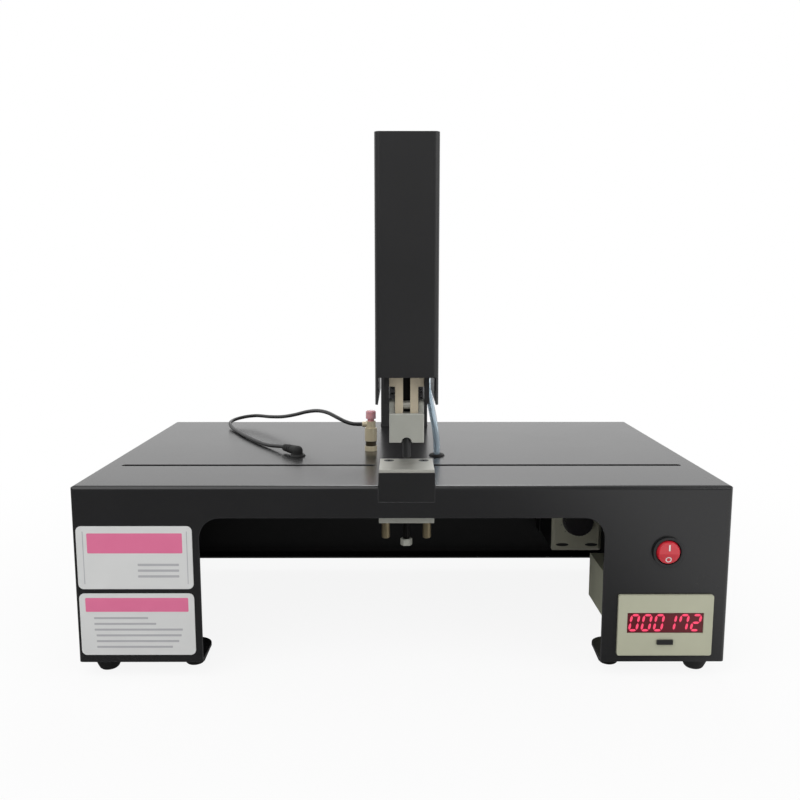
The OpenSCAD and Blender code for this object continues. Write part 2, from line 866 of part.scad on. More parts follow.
module foot_screws() {
    nut_z = foot_head_h + foot_h - foot_recess + sheet;
    color("#b8b9ba") on_table() for (p = foot_places)
        translate([p[0], p[1], -leg_h - foot_h + foot_recess - foot_head_h]) {
            difference() {
                cylinder(d = screw_head_d - 2 * screw_fit, h = foot_head_h);
                translate([0, 0, -cross_h]) cross_recess();
            }
            translate([0, 0, cross_h]) cylinder(d = screw_d, h = nut_z + foot_nut_h + 1 - cross_h);
            translate([0, 0, nut_z]) cylinder(d = foot_nut_d, h = foot_nut_h, $fn = 6);
        }
}

// Press frame
module base_beam() {
    half = beam_w / 2;
    color("#2a2a2b") on_head() difference() {
        span([-half, half], [beam_s, column_s], [-sheet - beam_h, -sheet]);
        anvil_stud_holes();
        each_table_screw() flat_screw_hole(table_screw_l);
        each_frame_bolt() frame_bolt_hole();
    }
}

module anvil_stud_holes() {
    deep = sheet + beam_h + clamp_t + 1;
    for (side = [-1, 1])
        translate([side * post_x, axis_s, -deep])
            cylinder(d = post_d + 2 * fit, h = deep + stud_reach + seat);
    translate([0, axis_s, -deep]) cylinder(d = jack_d + 2 * fit, h = deep - sheet + seat);
}

module column() {
    half = column_w / 2;
    color("#242425") on_head() difference() {
        span([-half, half], [column_s, column_s + column_t], [-sheet - beam_h, arm_top]);
        each_frame_bolt() frame_bolt_hole();
    }
}

module each_frame_bolt() {
    for (p = bolt_places) translate([p[0], column_s + column_t, p[1]]) rotate([90, 0, 0]) children();
}

// A socket-head bolt along +z here, with its head's face just below z = 0
module frame_bolt() {
    difference() {
        union() {
            translate([0, 0, seat]) cylinder(d = bolt_head_d, h = bolt_head_h);
            translate([0, 0, seat + bolt_head_h / 2]) cylinder(d = bolt_d, h = bolt_l);
        }
        cylinder(d = 6 / cos(30), h = 4, $fn = 6);
    }
}

module frame_bolt_hole() {
    translate([0, 0, -1]) cylinder(d = bolt_head_d + 2 * fit, h = 1 + seat + bolt_head_h);
    cylinder(d = bolt_d + 2 * screw_fit, h = bolt_head_h + bolt_l + seat);
}

module frame_bolts() {
    color("#3a3a3c") on_head() each_frame_bolt() frame_bolt();
}

module arm() {
    half = arm_w / 2;
    color("#2a2a2b") on_head() difference() {
        union() {
            span([-half, half], [arm_s, column_s], [arm_z, arm_top]);
            span([-guide_x, guide_x], [axis_s - cap_w / 2, arm_s + 1], [block_z, block_z + block_h]);
            for (side = [-1, 1], p = cover_screw_places)
                translate([side * (half - 1), p[0], p[1]]) rod_across(cover_boss_d, boss_x + 1, side);
        }
        translate([0, axis_s, block_z - 1]) cylinder(d = rod_d + 2 * fit, h = block_h + 2);
        translate([0, axis_s, cylinder_z - spigot_h])
            cylinder(d = spigot_d + 2 * screw_fit, h = spigot_h + 1);
        each_cheek_screw() flat_screw_hole(cheek_screw_l);
        each_cover_screw() flat_screw_hole(cover_screw_l);
        each_frame_bolt() frame_bolt_hole();
    }
}

module flat_screws() {
    color("#1c1c1d") {
        on_table() each_panel_screw() flat_screw(panel_screw_l);
        on_head() {
            each_cover_screw() flat_screw(cover_screw_l);
            each_back_screw() flat_screw(back_screw_l);
            each_anvil_screw() flat_screw(anvil_screw_l);
            each_table_screw() flat_screw(table_screw_l);
            each_cheek_screw() flat_screw(cheek_screw_l);
        }
    }
}

// Anvil
module anvil_pedestal() {
    half = pedestal_w / 2;
    color("#262627") on_head() difference() {
        union() {
            span([-half, half], [0, pedestal_d], [-sheet, pedestal_rise]);
            span([-half, half], [0, beam_s], [-lip_drop, 0]);
        }
        anvil_stud_holes();
        each_anvil_screw() flat_screw_hole(anvil_screw_l);
    }
}

module anvil_plate() {
    half = pedestal_w / 2 - anvil_inset;
    color("#b4b5b5") on_head() difference() {
        span([-half, half], [anvil_inset, pedestal_d - anvil_inset], [pedestal_rise, anvil_z]);
        each_anvil_screw() flat_screw_hole(anvil_screw_l);
        for (side = [-1, 1])
            translate([side * driver_w / 4 - pocket_l / 2, axis_s, anvil_z + pocket_d / 4])
                rod_across(pocket_d, pocket_l);
    }
}

module anvil_clamp_plate() {
    half = pedestal_w / 2;
    z = -sheet - beam_h;
    color("#c2c3c2") on_head() difference() {
        span([-half, half], [axis_s - clamp_d / 2, axis_s + clamp_d / 2], [z - clamp_t, z]);
        anvil_stud_holes();
    }
}

module anvil_posts() {
    z = -sheet - beam_h - clamp_t - post_reach;
    color("#cfc3a2") on_head() for (side = [-1, 1])
        translate([side * post_x, axis_s, z]) {
            cylinder(d1 = post_d - 2 * stud_chamfer, d2 = post_d, h = stud_chamfer);
            translate([0, 0, stud_chamfer]) cylinder(d = post_d, h = stud_reach - z - stud_chamfer);
        }
}

module jack_screw() {
    z = -sheet - beam_h - clamp_t - jack_reach;
    color("#2f2f30") on_head() translate([0, axis_s, z]) cylinder(d = jack_d, h = -sheet - z);
}

module jack_nut() {
    z = -sheet - beam_h - clamp_t - jack_reach + 0.5;
    color("#c9cac8") on_head() translate([0, axis_s, z]) difference() {
        cylinder(d = jack_nut_d, h = jack_nut_h, $fn = 6);
        translate([0, 0, -1]) cylinder(d = jack_d + 2 * screw_fit, h = jack_nut_h + 2);
    }
}

// Guides and covers round the head
module guide_cheeks() {
    color("#1f1f20") on_head() difference() {
        for (side = [-1, 1]) {
            x = sided(side, guide_x, guide_x + cheek_t);
            span(x, [axis_s - cap_w / 2 + 2, arm_s - seat], [cover_z, block_z + block_h]);
        }
        each_cheek_screw() flat_screw_hole(cheek_screw_l);
    }
}

module tower_cover() {
    h = cover_top - cover_z;
    color("#2d2d2e") on_head() difference() {
        translate([0, 0, cover_z]) front_rounded(cover_w, cover_d, h, cover_r);
        translate([0, cover_sheet, cover_z - 1])
            front_rounded(2 * cover_x, cover_d, h - cover_sheet + 1, cover_r - cover_sheet);
        span([-cover_x, cover_x], [-1, cover_r], [cover_z - 1, cover_z + front_lift]);
        each_cover_screw() flat_screw_hole(cover_screw_l);
        each_back_screw() flat_screw_hole(back_screw_l);
    }
}

module tower_back() {
    half = cover_x - fit;
    z = [back_z, cover_top - cover_sheet - fit];
    color("#29292a") on_head() difference() {
        union() {
            span([-half, half], [cover_d - cover_sheet, cover_d], z);
            for (side = [-1, 1]) {
                x = sided(side, half - cover_sheet, half);
                span(x, [cover_d - cover_sheet - back_tab, cover_d - 1], z);
            }
        }
        each_back_screw() flat_screw_hole(back_screw_l);
    }
}

// Air cylinder
module cylinder_barrel() {
    color("#b9bcbe") on_head() translate([0, axis_s, barrel_z]) difference() {
        cylinder(d = bore_d + 2 * barrel_wall, h = barrel_l);
        translate([0, 0, -1]) cylinder(d = bore_d, h = barrel_l + 2);
    }
}

module cap_block() {
    translate([-cap_w / 2, axis_s - cap_w / 2, 0]) cube([cap_w, cap_w, cap_t]);
}

module each_tie_rod() {
    at = cap_w / 2 - tie_d - 0.6;
    for (sx = [-1, 1], sy = [-1, 1]) translate([sx * at, axis_s + sy * at, 0]) children();
}

module cylinder_bottom_cap() {
    color("#5d6064") on_head() translate([0, 0, cylinder_z]) difference() {
        union() {
            cap_block();
            translate([0, axis_s, -spigot_h]) cylinder(d = spigot_d, h = spigot_h + 1);
        }
        translate([0, axis_s, -spigot_h - 1]) cylinder(d = rod_d + 2 * fit, h = cap_t + spigot_h + 2);
        each_tie_rod() translate([0, 0, tie_depth]) cylinder(d = tie_d + 2 * screw_fit, h = cap_t);
    }
}

module cylinder_top_cap() {
    color("#5d6064") on_head() translate([0, 0, top_cap_z]) difference() {
        cap_block();
        each_tie_rod() translate([0, 0, -1]) cylinder(d = tie_d + 2 * screw_fit, h = cap_t + 2);
        translate([port_x, axis_s, cap_t / 2]) rod_back(port_bore, cap_w);
        translate([port_x, axis_s + port_bore / 2, -1]) cylinder(d = port_bore, h = 1 + cap_t / 2);
        translate([port_x, axis_s + cap_w / 2 - port_thread_l, cap_t / 2])
            rod_back(port_thread_d + 2 * screw_fit, port_thread_l + 1);
    }
}

module tie_rods() {
    foot = cylinder_z + tie_depth + seat;
    color("#c4c6c7") on_head() each_tie_rod() {
        translate([0, 0, foot]) cylinder(d = tie_d, h = cylinder_top + tie_d - foot);
        translate([0, 0, cylinder_top]) cylinder(d = 1.9 * tie_d, h = tie_nut_h, $fn = 6);
    }
}

module piston() {
    r = bore_d / 2 - fit;
    color("#a9acaf") on_head() translate([0, axis_s, piston_z]) difference() {
        cylinder(r = r, h = piston_h);
        translate([0, 0, -1]) cylinder(d = rod_d, h = piston_h - piston_crown + 1);
        for (z = seal_zs) translate([0, 0, z - seal_d / 2 - fit]) difference() {
            cylinder(r = r + 1, h = seal_d + 2 * fit);
            translate([0, 0, -1]) cylinder(r = bore_d / 2 - seal_d - 2 * screw_fit, h = seal_d + 3);
        }
    }
}

module piston_seals() {
    color("#141414") on_head() translate([0, axis_s, piston_z]) for (z = seal_zs)
        translate([0, 0, z]) rotate_extrude()
            translate([bore_d / 2 - seal_d / 2 - screw_fit, 0]) circle(d = seal_d);
}

module piston_rod() {
    z = ram_top - ram_socket;
    top = piston_z + piston_h - piston_crown;
    color("#d7d9da") on_head() translate([0, axis_s, z]) cylinder(d = rod_d, h = top - z);
}

module return_spring() {
    l = piston_z - barrel_z;
    color("#8f9294") on_head() translate([0, axis_s, barrel_z])
        coil_spring(return_spring_d, return_wire, l, return_curls);
}

// Moving head
module ram_block() {
    color("#7d8083") on_head() difference() {
        span([-slide_x, slide_x], [hanger_back + seat, ram_back], [ram_z, ram_top]);
        translate([0, axis_s, ram_top - ram_socket]) cylinder(d = rod_d, h = ram_socket + 1);
        half = driver_w / 2 + screw_fit;
        thick = driver_t / 2 + screw_fit;
        span([-half, half], [axis_s - thick, axis_s + thick], [ram_z - 1, ram_z + driver_depth]);
    }
}

module driver_blade() {
    half = driver_w / 2;
    s = [axis_s - driver_t / 2, axis_s + driver_t / 2];
    color("#9da0a3") on_head() span([-half, half], s, [driver_tip, ram_z + driver_depth]);
}

module head_hanger() {
    inner = strap_gap / 2;
    outer = inner + strap_w;
    tongue = [inner + tongue_inset, outer - tongue_outset];
    plate = [hanger_s, hanger_back];
    top = hanger_z + hanger_t;
    gap_top = ram_z - 4;
    color("#d2c7a8") on_head() difference() {
        union() {
            for (side = [-1, 1]) {
                span(sided(side, inner, outer), plate, [nose_top, hanger_z]);
                span(sided(side, tongue[0], tongue[1]), plate, [nose_top - tongue_l, nose_top + 1]);
                span(sided(side, inner, slide_x), plate, [nose_top + shoulder_z, hanger_z]);
            }
            span([-slide_x, slide_x], plate, [gap_top, top]);
            span([-slide_x, slide_x], [hanger_s, ram_back], [hanger_z, top]);
        }
        translate([0, axis_s, hanger_z - 1]) cylinder(d = rod_d + 1, h = hanger_t + 2);
    }
}

module hanger_pin() {
    half = nose_w / 2 - 0.5;
    color("#c6c8c9") on_head() translate([-half, pin_s, pin_z]) rod_across(pin_d, 2 * half);
}

module nose_block() {
    half = nose_w / 2;
    strap = strap_gap / 2 + strap_w;
    ear = strap + tongue_outset;
    ear_s = [pin_s - pin_d / 2 - ear_wall, pin_s + pin_d / 2 + ear_wall];
    slot = driver_w / 2 + fit;
    driver_s = [axis_s - driver_t / 2 - fit, axis_s + driver_t / 2 + 2 * fit];
    tongue_s = [hanger_s - screw_fit, hanger_back + screw_fit];
    color("#a3a6a8") on_head() difference() {
        union() {
            span([-half, half], [nose_s, nose_back], [nose_z, nose_top]);
            for (side = [-1, 1]) {
                span(sided(side, ear, half), ear_s, [nose_top - 1, pin_z]);
                translate([side * ear, pin_s, pin_z]) rod_across(pin_d + 2 * ear_wall, half - ear, side);
            }
        }
        translate([-half - 1, pin_s, pin_z]) rod_across(pin_d + 2 * screw_fit, nose_w + 2);
        span([-slot, slot], driver_s, [nose_z - 1, nose_top + 1]);
        span([-slot, slot], [axis_s, nose_back + 1], [nose_z + 1, strip_top + fit]);
        for (side = [-1, 1]) {
            inner = strap_gap / 2 + tongue_inset - screw_fit;
            outer = strap - tongue_outset + screw_fit;
            span(sided(side, inner, outer), tongue_s, [nose_top - tongue_l - fit, nose_top + 1]);
        }
        translate([0, plunger_s, nose_z - 1])
            cylinder(d = plunger_d + 2 * fit, h = plunger_bore_top - nose_z + 1);
        translate([0, nose_s - 1, nose_z]) rod_back(nose_window_d, plunger_s - nose_s + 1);
    }
}

module hold_down_plunger() {
    color("#1a1a1b") on_head() translate([0, plunger_s, plunger_z]) difference() {
        union() {
            cylinder(d1 = plunger_d - 2 * plunger_chamfer, d2 = plunger_d, h = plunger_chamfer);
            translate([0, 0, plunger_chamfer]) cylinder(d = plunger_d, h = plunger_l - plunger_chamfer);
        }
        translate([0, 0, plunger_floor]) cylinder(d = plunger_hollow_d, h = plunger_l);
    }
}

module hold_down_spring() {
    z = plunger_z + plunger_floor;
    color("#9a9c9e") on_head() translate([0, plunger_s, z])
        coil_spring(hold_spring_d, hold_wire, plunger_bore_top - z, hold_curls);
}

module follow_springs() {
    color("#9a9c9e") on_head() for (side = [-1, 1])
        translate([side * follow_x, follow_s, nose_top])
            coil_spring(follow_spring_d, follow_wire, ram_z - nose_top, follow_curls);
}

// Magazine
module magazine_body() {
    half = magazine_half;
    tab_x = pusher_tab + seat;
    tab_s = [pusher_s + pusher_tab_s - 1, pusher_s + pusher_l - pusher_tab_s + pusher_travel + 1];
    color("#aeb1b3") on_head() difference() {
        span([-half, half], [nose_back, magazine_end], [strip_z - seat, magazine_top]);
        span([-magazine_inner, magazine_inner], [nose_back - 1, magazine_end - end_wall],
            [strip_z - 1, magazine_top - magazine_wall]);
        span([-tab_x, tab_x], tab_s, [magazine_top - 2 * magazine_wall, magazine_top + 1]);
    }
}

module magazine_rail() {
    floor_z = strip_z - seat;
    color("#85888b") on_head() {
        span([-magazine_half, magazine_half], [nose_back, magazine_end], [floor_z - rail_floor_h, floor_z]);
        span([-rail_half, rail_half], [strip_s, magazine_end - end_wall - seat], [floor_z, rail_top]);
    }
}

module staple_strip() {
    color("#c9cbcc") on_head() difference() {
        span([-staple_half, staple_half], [strip_s, strip_s + strip_l], [strip_z, strip_top]);
        inner = staple_half - staple_t;
        span([-inner, inner], [strip_s - 1, strip_s + strip_l + 1], [strip_z - 1, strip_top - staple_t]);
    }
}

module staple_pusher() {
    half = magazine_inner - fit;
    inner = rail_half + fit;
    tab_s = [pusher_s + pusher_tab_s, pusher_s + pusher_l - pusher_tab_s];
    color("#3c3d3f") on_head() {
        difference() {
            span([-half, half], [pusher_s, pusher_s + pusher_l], [strip_z, pusher_top]);
            span([-inner, inner], [pusher_s - 1, pusher_s + pusher_l + 1], [strip_z - 1, rail_top + fit]);
        }
        span([-pusher_tab, pusher_tab], tab_s, [pusher_top - 1, magazine_top + pusher_tab_h]);
    }
}

module pusher_spring() {
    s = pusher_s + pusher_l;
    z = rail_top + seat + (pusher_spring_d + pusher_wire) / 2;
    color("#9a9c9e") on_head() translate([0, s, z]) rotate([-90, 0, 0])
        coil_spring(pusher_spring_d, pusher_wire, magazine_end - end_wall - s, pusher_curls);
}

// Switch, counter and timer
module rocker_frame() {
    pin_hole_d = rocker_pin_d + 2 * screw_fit;
    color("#17191a") on_table() translate([counter_x, 0, -rocker_z]) difference() {
        union() {
            translate([0, -rocker_lip, 0]) rod_back(rocker_frame_d, rocker_lip);
            translate([0, -1, 0]) rod_back(rocker_barrel_d, rocker_barrel_l + 1);
            for (side = [-1, 1])
                translate([side * lug_x - lug[0] / 2, rocker_barrel_l - 1, -lug[2] / 2]) cube(lug);
        }
        translate([0, -rocker_lip - 1, 0]) rod_back(rocker_d + 2 * seat, rocker_cup + rocker_lip + 1);
        translate([-rocker_frame_d, rocker_s, 0]) rod_across(pin_hole_d, 2 * rocker_frame_d);
    }
}

module rocker() {
    edge = rocker_d * tan(rocker_angle / 2);
    back = rocker_ridge + rocker_back;
    color("#c8202c") on_table() translate([counter_x, rocker_s, -rocker_z]) rotate([rocker_angle / 2, 0, 0]) {
        intersection() {
            rotate([90, 45, 0]) sphere(d = rocker_d);
            translate([-rocker_d, -rocker_ridge, 0]) rotate([0, 90, 0]) linear_extrude(2 * rocker_d)
                polygon([[0, 0], [rocker_d, edge], [rocker_d, back], [-rocker_d, back], [-rocker_d, edge]]);
        }
        translate([-rocker_barrel_d / 2 + seat, 0, 0]) rod_across(rocker_pin_d, rocker_barrel_d - 2 * seat);
    }
}

module counter_case() {
    w = counter_w - 2 * counter_lip - 2 * fit;
    h = counter_h - 2 * counter_lip - 2 * fit;
    color("#c3c2ac") on_table() translate([counter_x, 0, -counter_z]) difference() {
        union() {
            translate([0, -counter_proud, 0])
                round_plate(counter_w, counter_h, counter_proud, counter_corner);
            span([-w / 2, w / 2], [-1, counter_d], [-h / 2, h / 2]);
        }
        face_back = counter_face - counter_proud;
        span([-w / 2 + counter_wall, w / 2 - counter_wall], [face_back, counter_d + 1],
            [-h / 2 + counter_wall, h / 2 - counter_wall]);
        wx = window_w / 2 + screw_fit;
        wz = window_h / 2 + screw_fit;
        glass_s = [-counter_proud - 1, -counter_proud + window_recess + window_t];
        span([-wx, wx], glass_s, [window_z - wz, window_z + wz]);
        bx = reset_w / 2 + fit;
        bz = reset_h / 2 + fit;
        span([-bx, bx], [-counter_proud - 1, face_back + 1], [reset_z - bz, reset_z + bz]);
    }
}

module counter_window() {
    front = -counter_proud + window_recess;
    color("#5a0d16") on_table() translate([counter_x, 0, -counter_z + window_z])
        span([-window_w / 2, window_w / 2], [front, front + window_t], [-window_h / 2, window_h / 2]);
}

module reset_button() {
    color("#151516") on_table() translate([counter_x, 0, -counter_z + reset_z])
        span([-reset_w / 2, reset_w / 2], [-front_proud, reset_l - front_proud], [-reset_h / 2, reset_h / 2]);
}

module counter_terminals() {
    inset = 2 * counter_lip + 2 * counter_wall + 4 * fit;
    w = counter_w - inset;
    h = counter_h - inset;
    step = w / terminal_count;
    color("#2c3a34") on_table() translate([counter_x, 0, -counter_z]) difference() {
        span([-w / 2, w / 2], [counter_d - terminal_block, counter_d], [-h / 2, h / 2]);
        for (i = [0 : terminal_count - 1])
            translate([-w / 2 + step * (i + 0.5), counter_d - terminal_block / 2, 0])
                rod_back(terminal_d, terminal_block);
    }
}

module timer_socket() {
    half = timer_w / 2 + socket_lip;
    color("#3b3b3d") on_table() translate([timer_at, rear_s - socket_d, -timer_z]) difference() {
        span([-half, half], [0, socket_d], [-half, half]);
        for (side = [-1, 1], i = [-1.5 : 1 : 1.5])
            translate([i * timer_w / 4.4, -1, side * timer_w / 2.4]) rod_back(socket_hole_d, socket_d / 3);
    }
}

module timer_box() {
    inner = timer_w / 2 - timer_wall;
    color("#a9a79a") on_table() translate([timer_at, timer_s, -timer_z]) difference() {
        round_plate(timer_w, timer_w, timer_d, timer_wall);
        bevel = timer_bevel * sqrt(2);
        for (a = [0 : 90 : 270])
            rotate([0, a, 0]) translate([timer_w / 2, 0, 0]) rotate([0, 0, 45])
                cube([bevel, bevel, timer_w + 2], center = true);
        span([-inner, inner], [timer_front, timer_d + 1], [-inner, inner]);
        translate([0, -1, knob_z]) rod_back(knob_shaft_d + 2 * fit, timer_front + 2);
    }
}

module timer_knob() {
    top_d = knob_d * knob_top;
    color("#141415") on_table() translate([timer_at, timer_s - seat - knob_l, -timer_z + knob_z]) {
        difference() {
            union() {
                rod_back(top_d, knob_l);
                translate([0, knob_l - knob_skirt_h, 0]) rod_back(knob_d, knob_skirt_h);
                translate([0, knob_l - knob_skirt_h - knob_cone_h, 0]) rotate([-90, 0, 0])
                    cylinder(d1 = top_d, d2 = knob_d, h = knob_cone_h);
            }
            translate([-knob_mark[0] / 2, -1, top_d / 2 - knob_mark[2] - 1])
                cube([knob_mark[0], knob_mark[1] + 1, knob_mark[2]]);
        }
        translate([0, knob_l - 1, 0]) rod_back(knob_shaft_d, 1 + seat + knob_shaft_l);
    }
}

// Air and power
module valve_body() {
    x = [valve_x - valve_w / 2, valve_x + valve_w / 2];
    front = rear_s - valve_l;
    color("#b4b6b8") on_table() difference() {
        union() {
            span(x, [front, rear_s], [-sheet - valve_h, -sheet]);
            translate([valve_x, front - valve_port, hose_port_z]) rod_back(valve_port + 2, valve_port + 1);
        }
        translate([valve_x, front - valve_port - 1, hose_port_z])
            rod_back(hose_d + 2 * fit, valve_port + hose_depth);
        translate([valve_x, rear_s - port_thread_l, hose_port_z])
            rod_back(valve_port + 2 * screw_fit, port_thread_l + 1);
    }
}

module valve_coil() {
    half = valve_w / 2 - 1;
    z = -sheet - valve_h;
    color("#19191a") on_table() span([valve_x - half, valve_x + half], coil_s, [z - coil_h, z]);
}

module port_fitting() {
    color("#c6a55a") on_head() translate([port_x, axis_s + cap_w / 2, top_cap_z + cap_t / 2]) difference() {
        union() {
            translate([0, seat - port_thread_l, 0]) rod_back(port_thread_d, port_thread_l + 1);
            rotate([-90, 0, 0]) cylinder(d = port_hex_d, h = port_hex_l, $fn = 6);
            translate([0, port_hex_l - 1, 0]) rod_back(port_collar_d, port_l - port_hex_l + 1);
        }
        translate([0, -port_thread_l - 1, 0]) rod_back(port_bore, port_thread_l + port_l + 2);
        translate([0, port_l - hose_depth, 0]) rod_back(hose_d + 2 * fit, hose_depth + 1);
    }
}

module air_inlet() {
    color("#c6a55a") on_table() translate([valve_x, rear_s, hose_port_z]) difference() {
        union() {
            translate([0, seat - port_thread_l, 0]) rod_back(valve_port, port_thread_l + sheet);
            translate([0, sheet, 0]) rotate([-90, 0, 0]) cylinder(d = air_nut_d, h = air_nut_l, $fn = 6);
            translate([0, sheet, 0]) rod_back(air_plug_d, air_plug_l);
        }
        translate([0, -port_thread_l - 1, 0]) rod_back(air_bore, port_thread_l + sheet + air_plug_l + 2);
    }
}

module air_hose() {
    color("#6f9fd0") on_table() swept_tube(smooth_route(hose_route, hose_steps), hose_d, 10);
}

module inlet_cut() {
    translate([inlet_x - inlet_w / 2 - fit, rear_s - 1, inlet_z - inlet_h / 2 - fit])
        cube([inlet_w + 2 * fit, sheet + 2, inlet_h + 2 * fit]);
}

module power_inlet() {
    x = inlet_w / 2;
    z = inlet_h / 2;
    mouth = [-inlet_back + 2 * sheet, sheet + 4];
    color("#121213") on_table() translate([inlet_x, rear_s, inlet_z]) {
        difference() {
            union() {
                span([-x, x], [-inlet_back, sheet + 1], [-z, z]);
                span([-inlet_flange_w / 2, inlet_flange_w / 2], [sheet, sheet + 3], [-z - 2, z + 2]);
            }
            span([-x + inlet_wall, x - inlet_wall], mouth, [-z + inlet_wall, z - inlet_wall]);
        }
        for (pin = inlet_pins)
            span([pin[0] - 1, pin[0] + 1], [mouth[0] - 1, mouth[0] + 12], [pin[1] - 2, pin[1] + 2]);
    }
}

module trigger_body() {
    color("#c9b894") on_table() translate([trigger_x, trigger_s, 0]) difference() {
        union() {
            cylinder(d = trigger_d, h = trigger_h - trigger_neck_h);
            cylinder(d = trigger_neck_d, h = trigger_h);
            translate([0, 0, -trigger_thread_l]) cylinder(d = trigger_thread_d, h = trigger_thread_l + 1);
            translate([0, 0, gland_z]) rod_across(gland_d, trigger_x - cable_route[0][0] - seat, -1);
        }
        translate([0, 0, trigger_ring_h]) difference() {
            cylinder(d = trigger_d + 1, h = trigger_groove_h);
            translate([0, 0, -1]) cylinder(d = trigger_d - 2 * trigger_groove, h = trigger_groove_h + 2);
        }
        translate([0, 0, trigger_h - stem_l]) cylinder(d = stem_d + 2 * fit, h = stem_l + 1);
    }
}

module trigger_button() {
    gap = button_travel + seat;
    color("#d8404c") on_table() translate([trigger_x, trigger_s, trigger_h]) {
        translate([0, 0, gap]) cylinder(d = button_d, h = button_h - button_chamfer - gap);
        translate([0, 0, button_h - button_chamfer])
            cylinder(d1 = button_d, d2 = button_d - 2 * button_chamfer, h = button_chamfer);
        translate([0, 0, gap - stem_l]) cylinder(d = stem_d, h = stem_l + 1);
    }
}

module trigger_cable() {
    color("#161617") on_table() swept_tube(smooth_route(cable_route, cable_steps), cable_d, 8);
}

module grommet(hole_d) {
    r = hole_d / 2;
    neck = grommet_d / 2 - fit;
    rim = grommet_flange / 2;
    low = -sheet - grommet_lip;
    rotate_extrude() polygon([
        [r, low], [rim - 1, low], [rim - 1, -sheet - fit], [neck, -sheet - fit], [neck, fit], [rim, fit],
        [rim - 1, grommet_lip], [r, grommet_lip]
    ]);
}

// A plugged grommet whose tapered nose lies on the table and holds the cable's end
module cable_boot() {
    difference() {
        union() {
            grommet(0);
            cylinder(d = boot_d, h = boot_z);
            translate([0, 0, boot_z]) sphere(d = boot_d);
            translate([0, 0, boot_z]) rotate([0, 90, boot_turn])
                cylinder(d1 = boot_d, d2 = boot_tip_d, h = boot_l);
        }
        translate([0, 0, boot_z]) rotate([0, 90, boot_turn]) {
            translate([0, 0, boot_l - boot_bore]) cylinder(d = cable_d + 2 * fit, h = boot_bore + 1);
            for (z = [8.5, 12, 15.5]) translate([0, 0, z]) difference() {
                cylinder(d = boot_d + 1, h = 1.2);
                translate([0, 0, -1]) cylinder(d = boot_tip_d - 0.6, h = 4);
            }
        }
    }
}

module grommets() {
    color("#1b1b1c") on_table() {
        translate([cable_hole[0], cable_hole[1], 0]) cable_boot();
        translate([hose_hole[0], hose_hole[1], 0]) grommet(hose_d + 12 * fit);
    }
}

module label_plates() {
    color("#e8e6e6") on_table() for (z = label_zs)
        translate([label_x, -label_t, z]) round_plate(label_w, label_h, label_t, label_corner);
}

table_shell();
rear_panel();
base_beam();
column();
arm();
frame_bolts();
flat_screws();
feet();
foot_screws();
anvil_pedestal();
anvil_plate();
anvil_clamp_plate();
anvil_posts();
jack_screw();
jack_nut();
guide_cheeks();
tower_cover();
tower_back();
cylinder_barrel();
cylinder_top_cap();
cylinder_bottom_cap();
tie_rods();
piston();
piston_seals();
piston_rod();
return_spring();
ram_block();
driver_blade();
head_hanger();
hanger_pin();
nose_block();
hold_down_plunger();
hold_down_spring();
magazine_body();
magazine_rail();
staple_strip();
staple_pusher();
pusher_spring();
follow_springs();
rocker_frame();
rocker();
counter_case();
counter_terminals();
counter_window();
reset_button();
timer_socket();
timer_box();
timer_knob();
valve_body();
valve_coil();
port_fitting();
air_inlet();
air_hose();
power_inlet();
trigger_body();
trigger_button();
trigger_cable();
grommets();
label_plates();
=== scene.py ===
import math

import bmesh
import bpy
from mathutils import Matrix, Vector


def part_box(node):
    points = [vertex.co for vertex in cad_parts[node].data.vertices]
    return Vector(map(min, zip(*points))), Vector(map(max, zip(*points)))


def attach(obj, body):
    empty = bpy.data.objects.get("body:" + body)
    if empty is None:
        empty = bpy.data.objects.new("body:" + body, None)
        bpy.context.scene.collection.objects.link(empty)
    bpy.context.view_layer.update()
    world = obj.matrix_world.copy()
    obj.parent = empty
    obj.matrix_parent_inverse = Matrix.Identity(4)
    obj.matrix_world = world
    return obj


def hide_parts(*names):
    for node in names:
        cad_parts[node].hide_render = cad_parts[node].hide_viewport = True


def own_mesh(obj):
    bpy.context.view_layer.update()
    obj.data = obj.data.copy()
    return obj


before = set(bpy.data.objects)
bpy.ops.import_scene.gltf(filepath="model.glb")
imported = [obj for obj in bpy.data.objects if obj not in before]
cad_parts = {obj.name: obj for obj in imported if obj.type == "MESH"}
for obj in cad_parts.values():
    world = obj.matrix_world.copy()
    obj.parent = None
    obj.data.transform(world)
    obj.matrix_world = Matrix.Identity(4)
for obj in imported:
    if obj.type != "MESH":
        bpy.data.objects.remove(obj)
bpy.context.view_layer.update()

# Places in the part are given as x across, s back from the front panel and z over the table top, in mm
MM = 0.001
FRONT_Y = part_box("table_shell")[0].y
TABLE_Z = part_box("table_shell")[1].z
# The head: its centre line, its way down and the ram's way beyond it, in mm
HEAD_X = 3.5
HEAD_STROKE = 18.0
DRIVE_STROKE = 12.0
# How deep the back of a mark lies in what it is printed on, so that no gap shows
PRINT_SINK = 0.02 * MM
# Steps of a round corner
CORNER_STEPS = 6
# The camera, fitted to the table's corners, the legs and the tower in the photograph: sensor and lens, its
# place across, away from the front panel and over the floor, in mm, its tilt down and its turn in degrees
SENSOR_MM = 36.0
LENS_MM = 36.39
CAMERA_X, CAMERA_AWAY, CAMERA_UP = -2.88, 586.74, 297.56
CAMERA_DOWN, CAMERA_TURN = 7.937, -0.134


def place(x, s, z):
    """A point of the part in metres."""
    return Vector((x * MM, FRONT_Y + s * MM, TABLE_Z + z * MM))


def box_of(node):
    """The lowest corner, the highest corner and the centre of a CAD node's box."""
    low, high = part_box(node)
    return low, high, (low + high) / 2


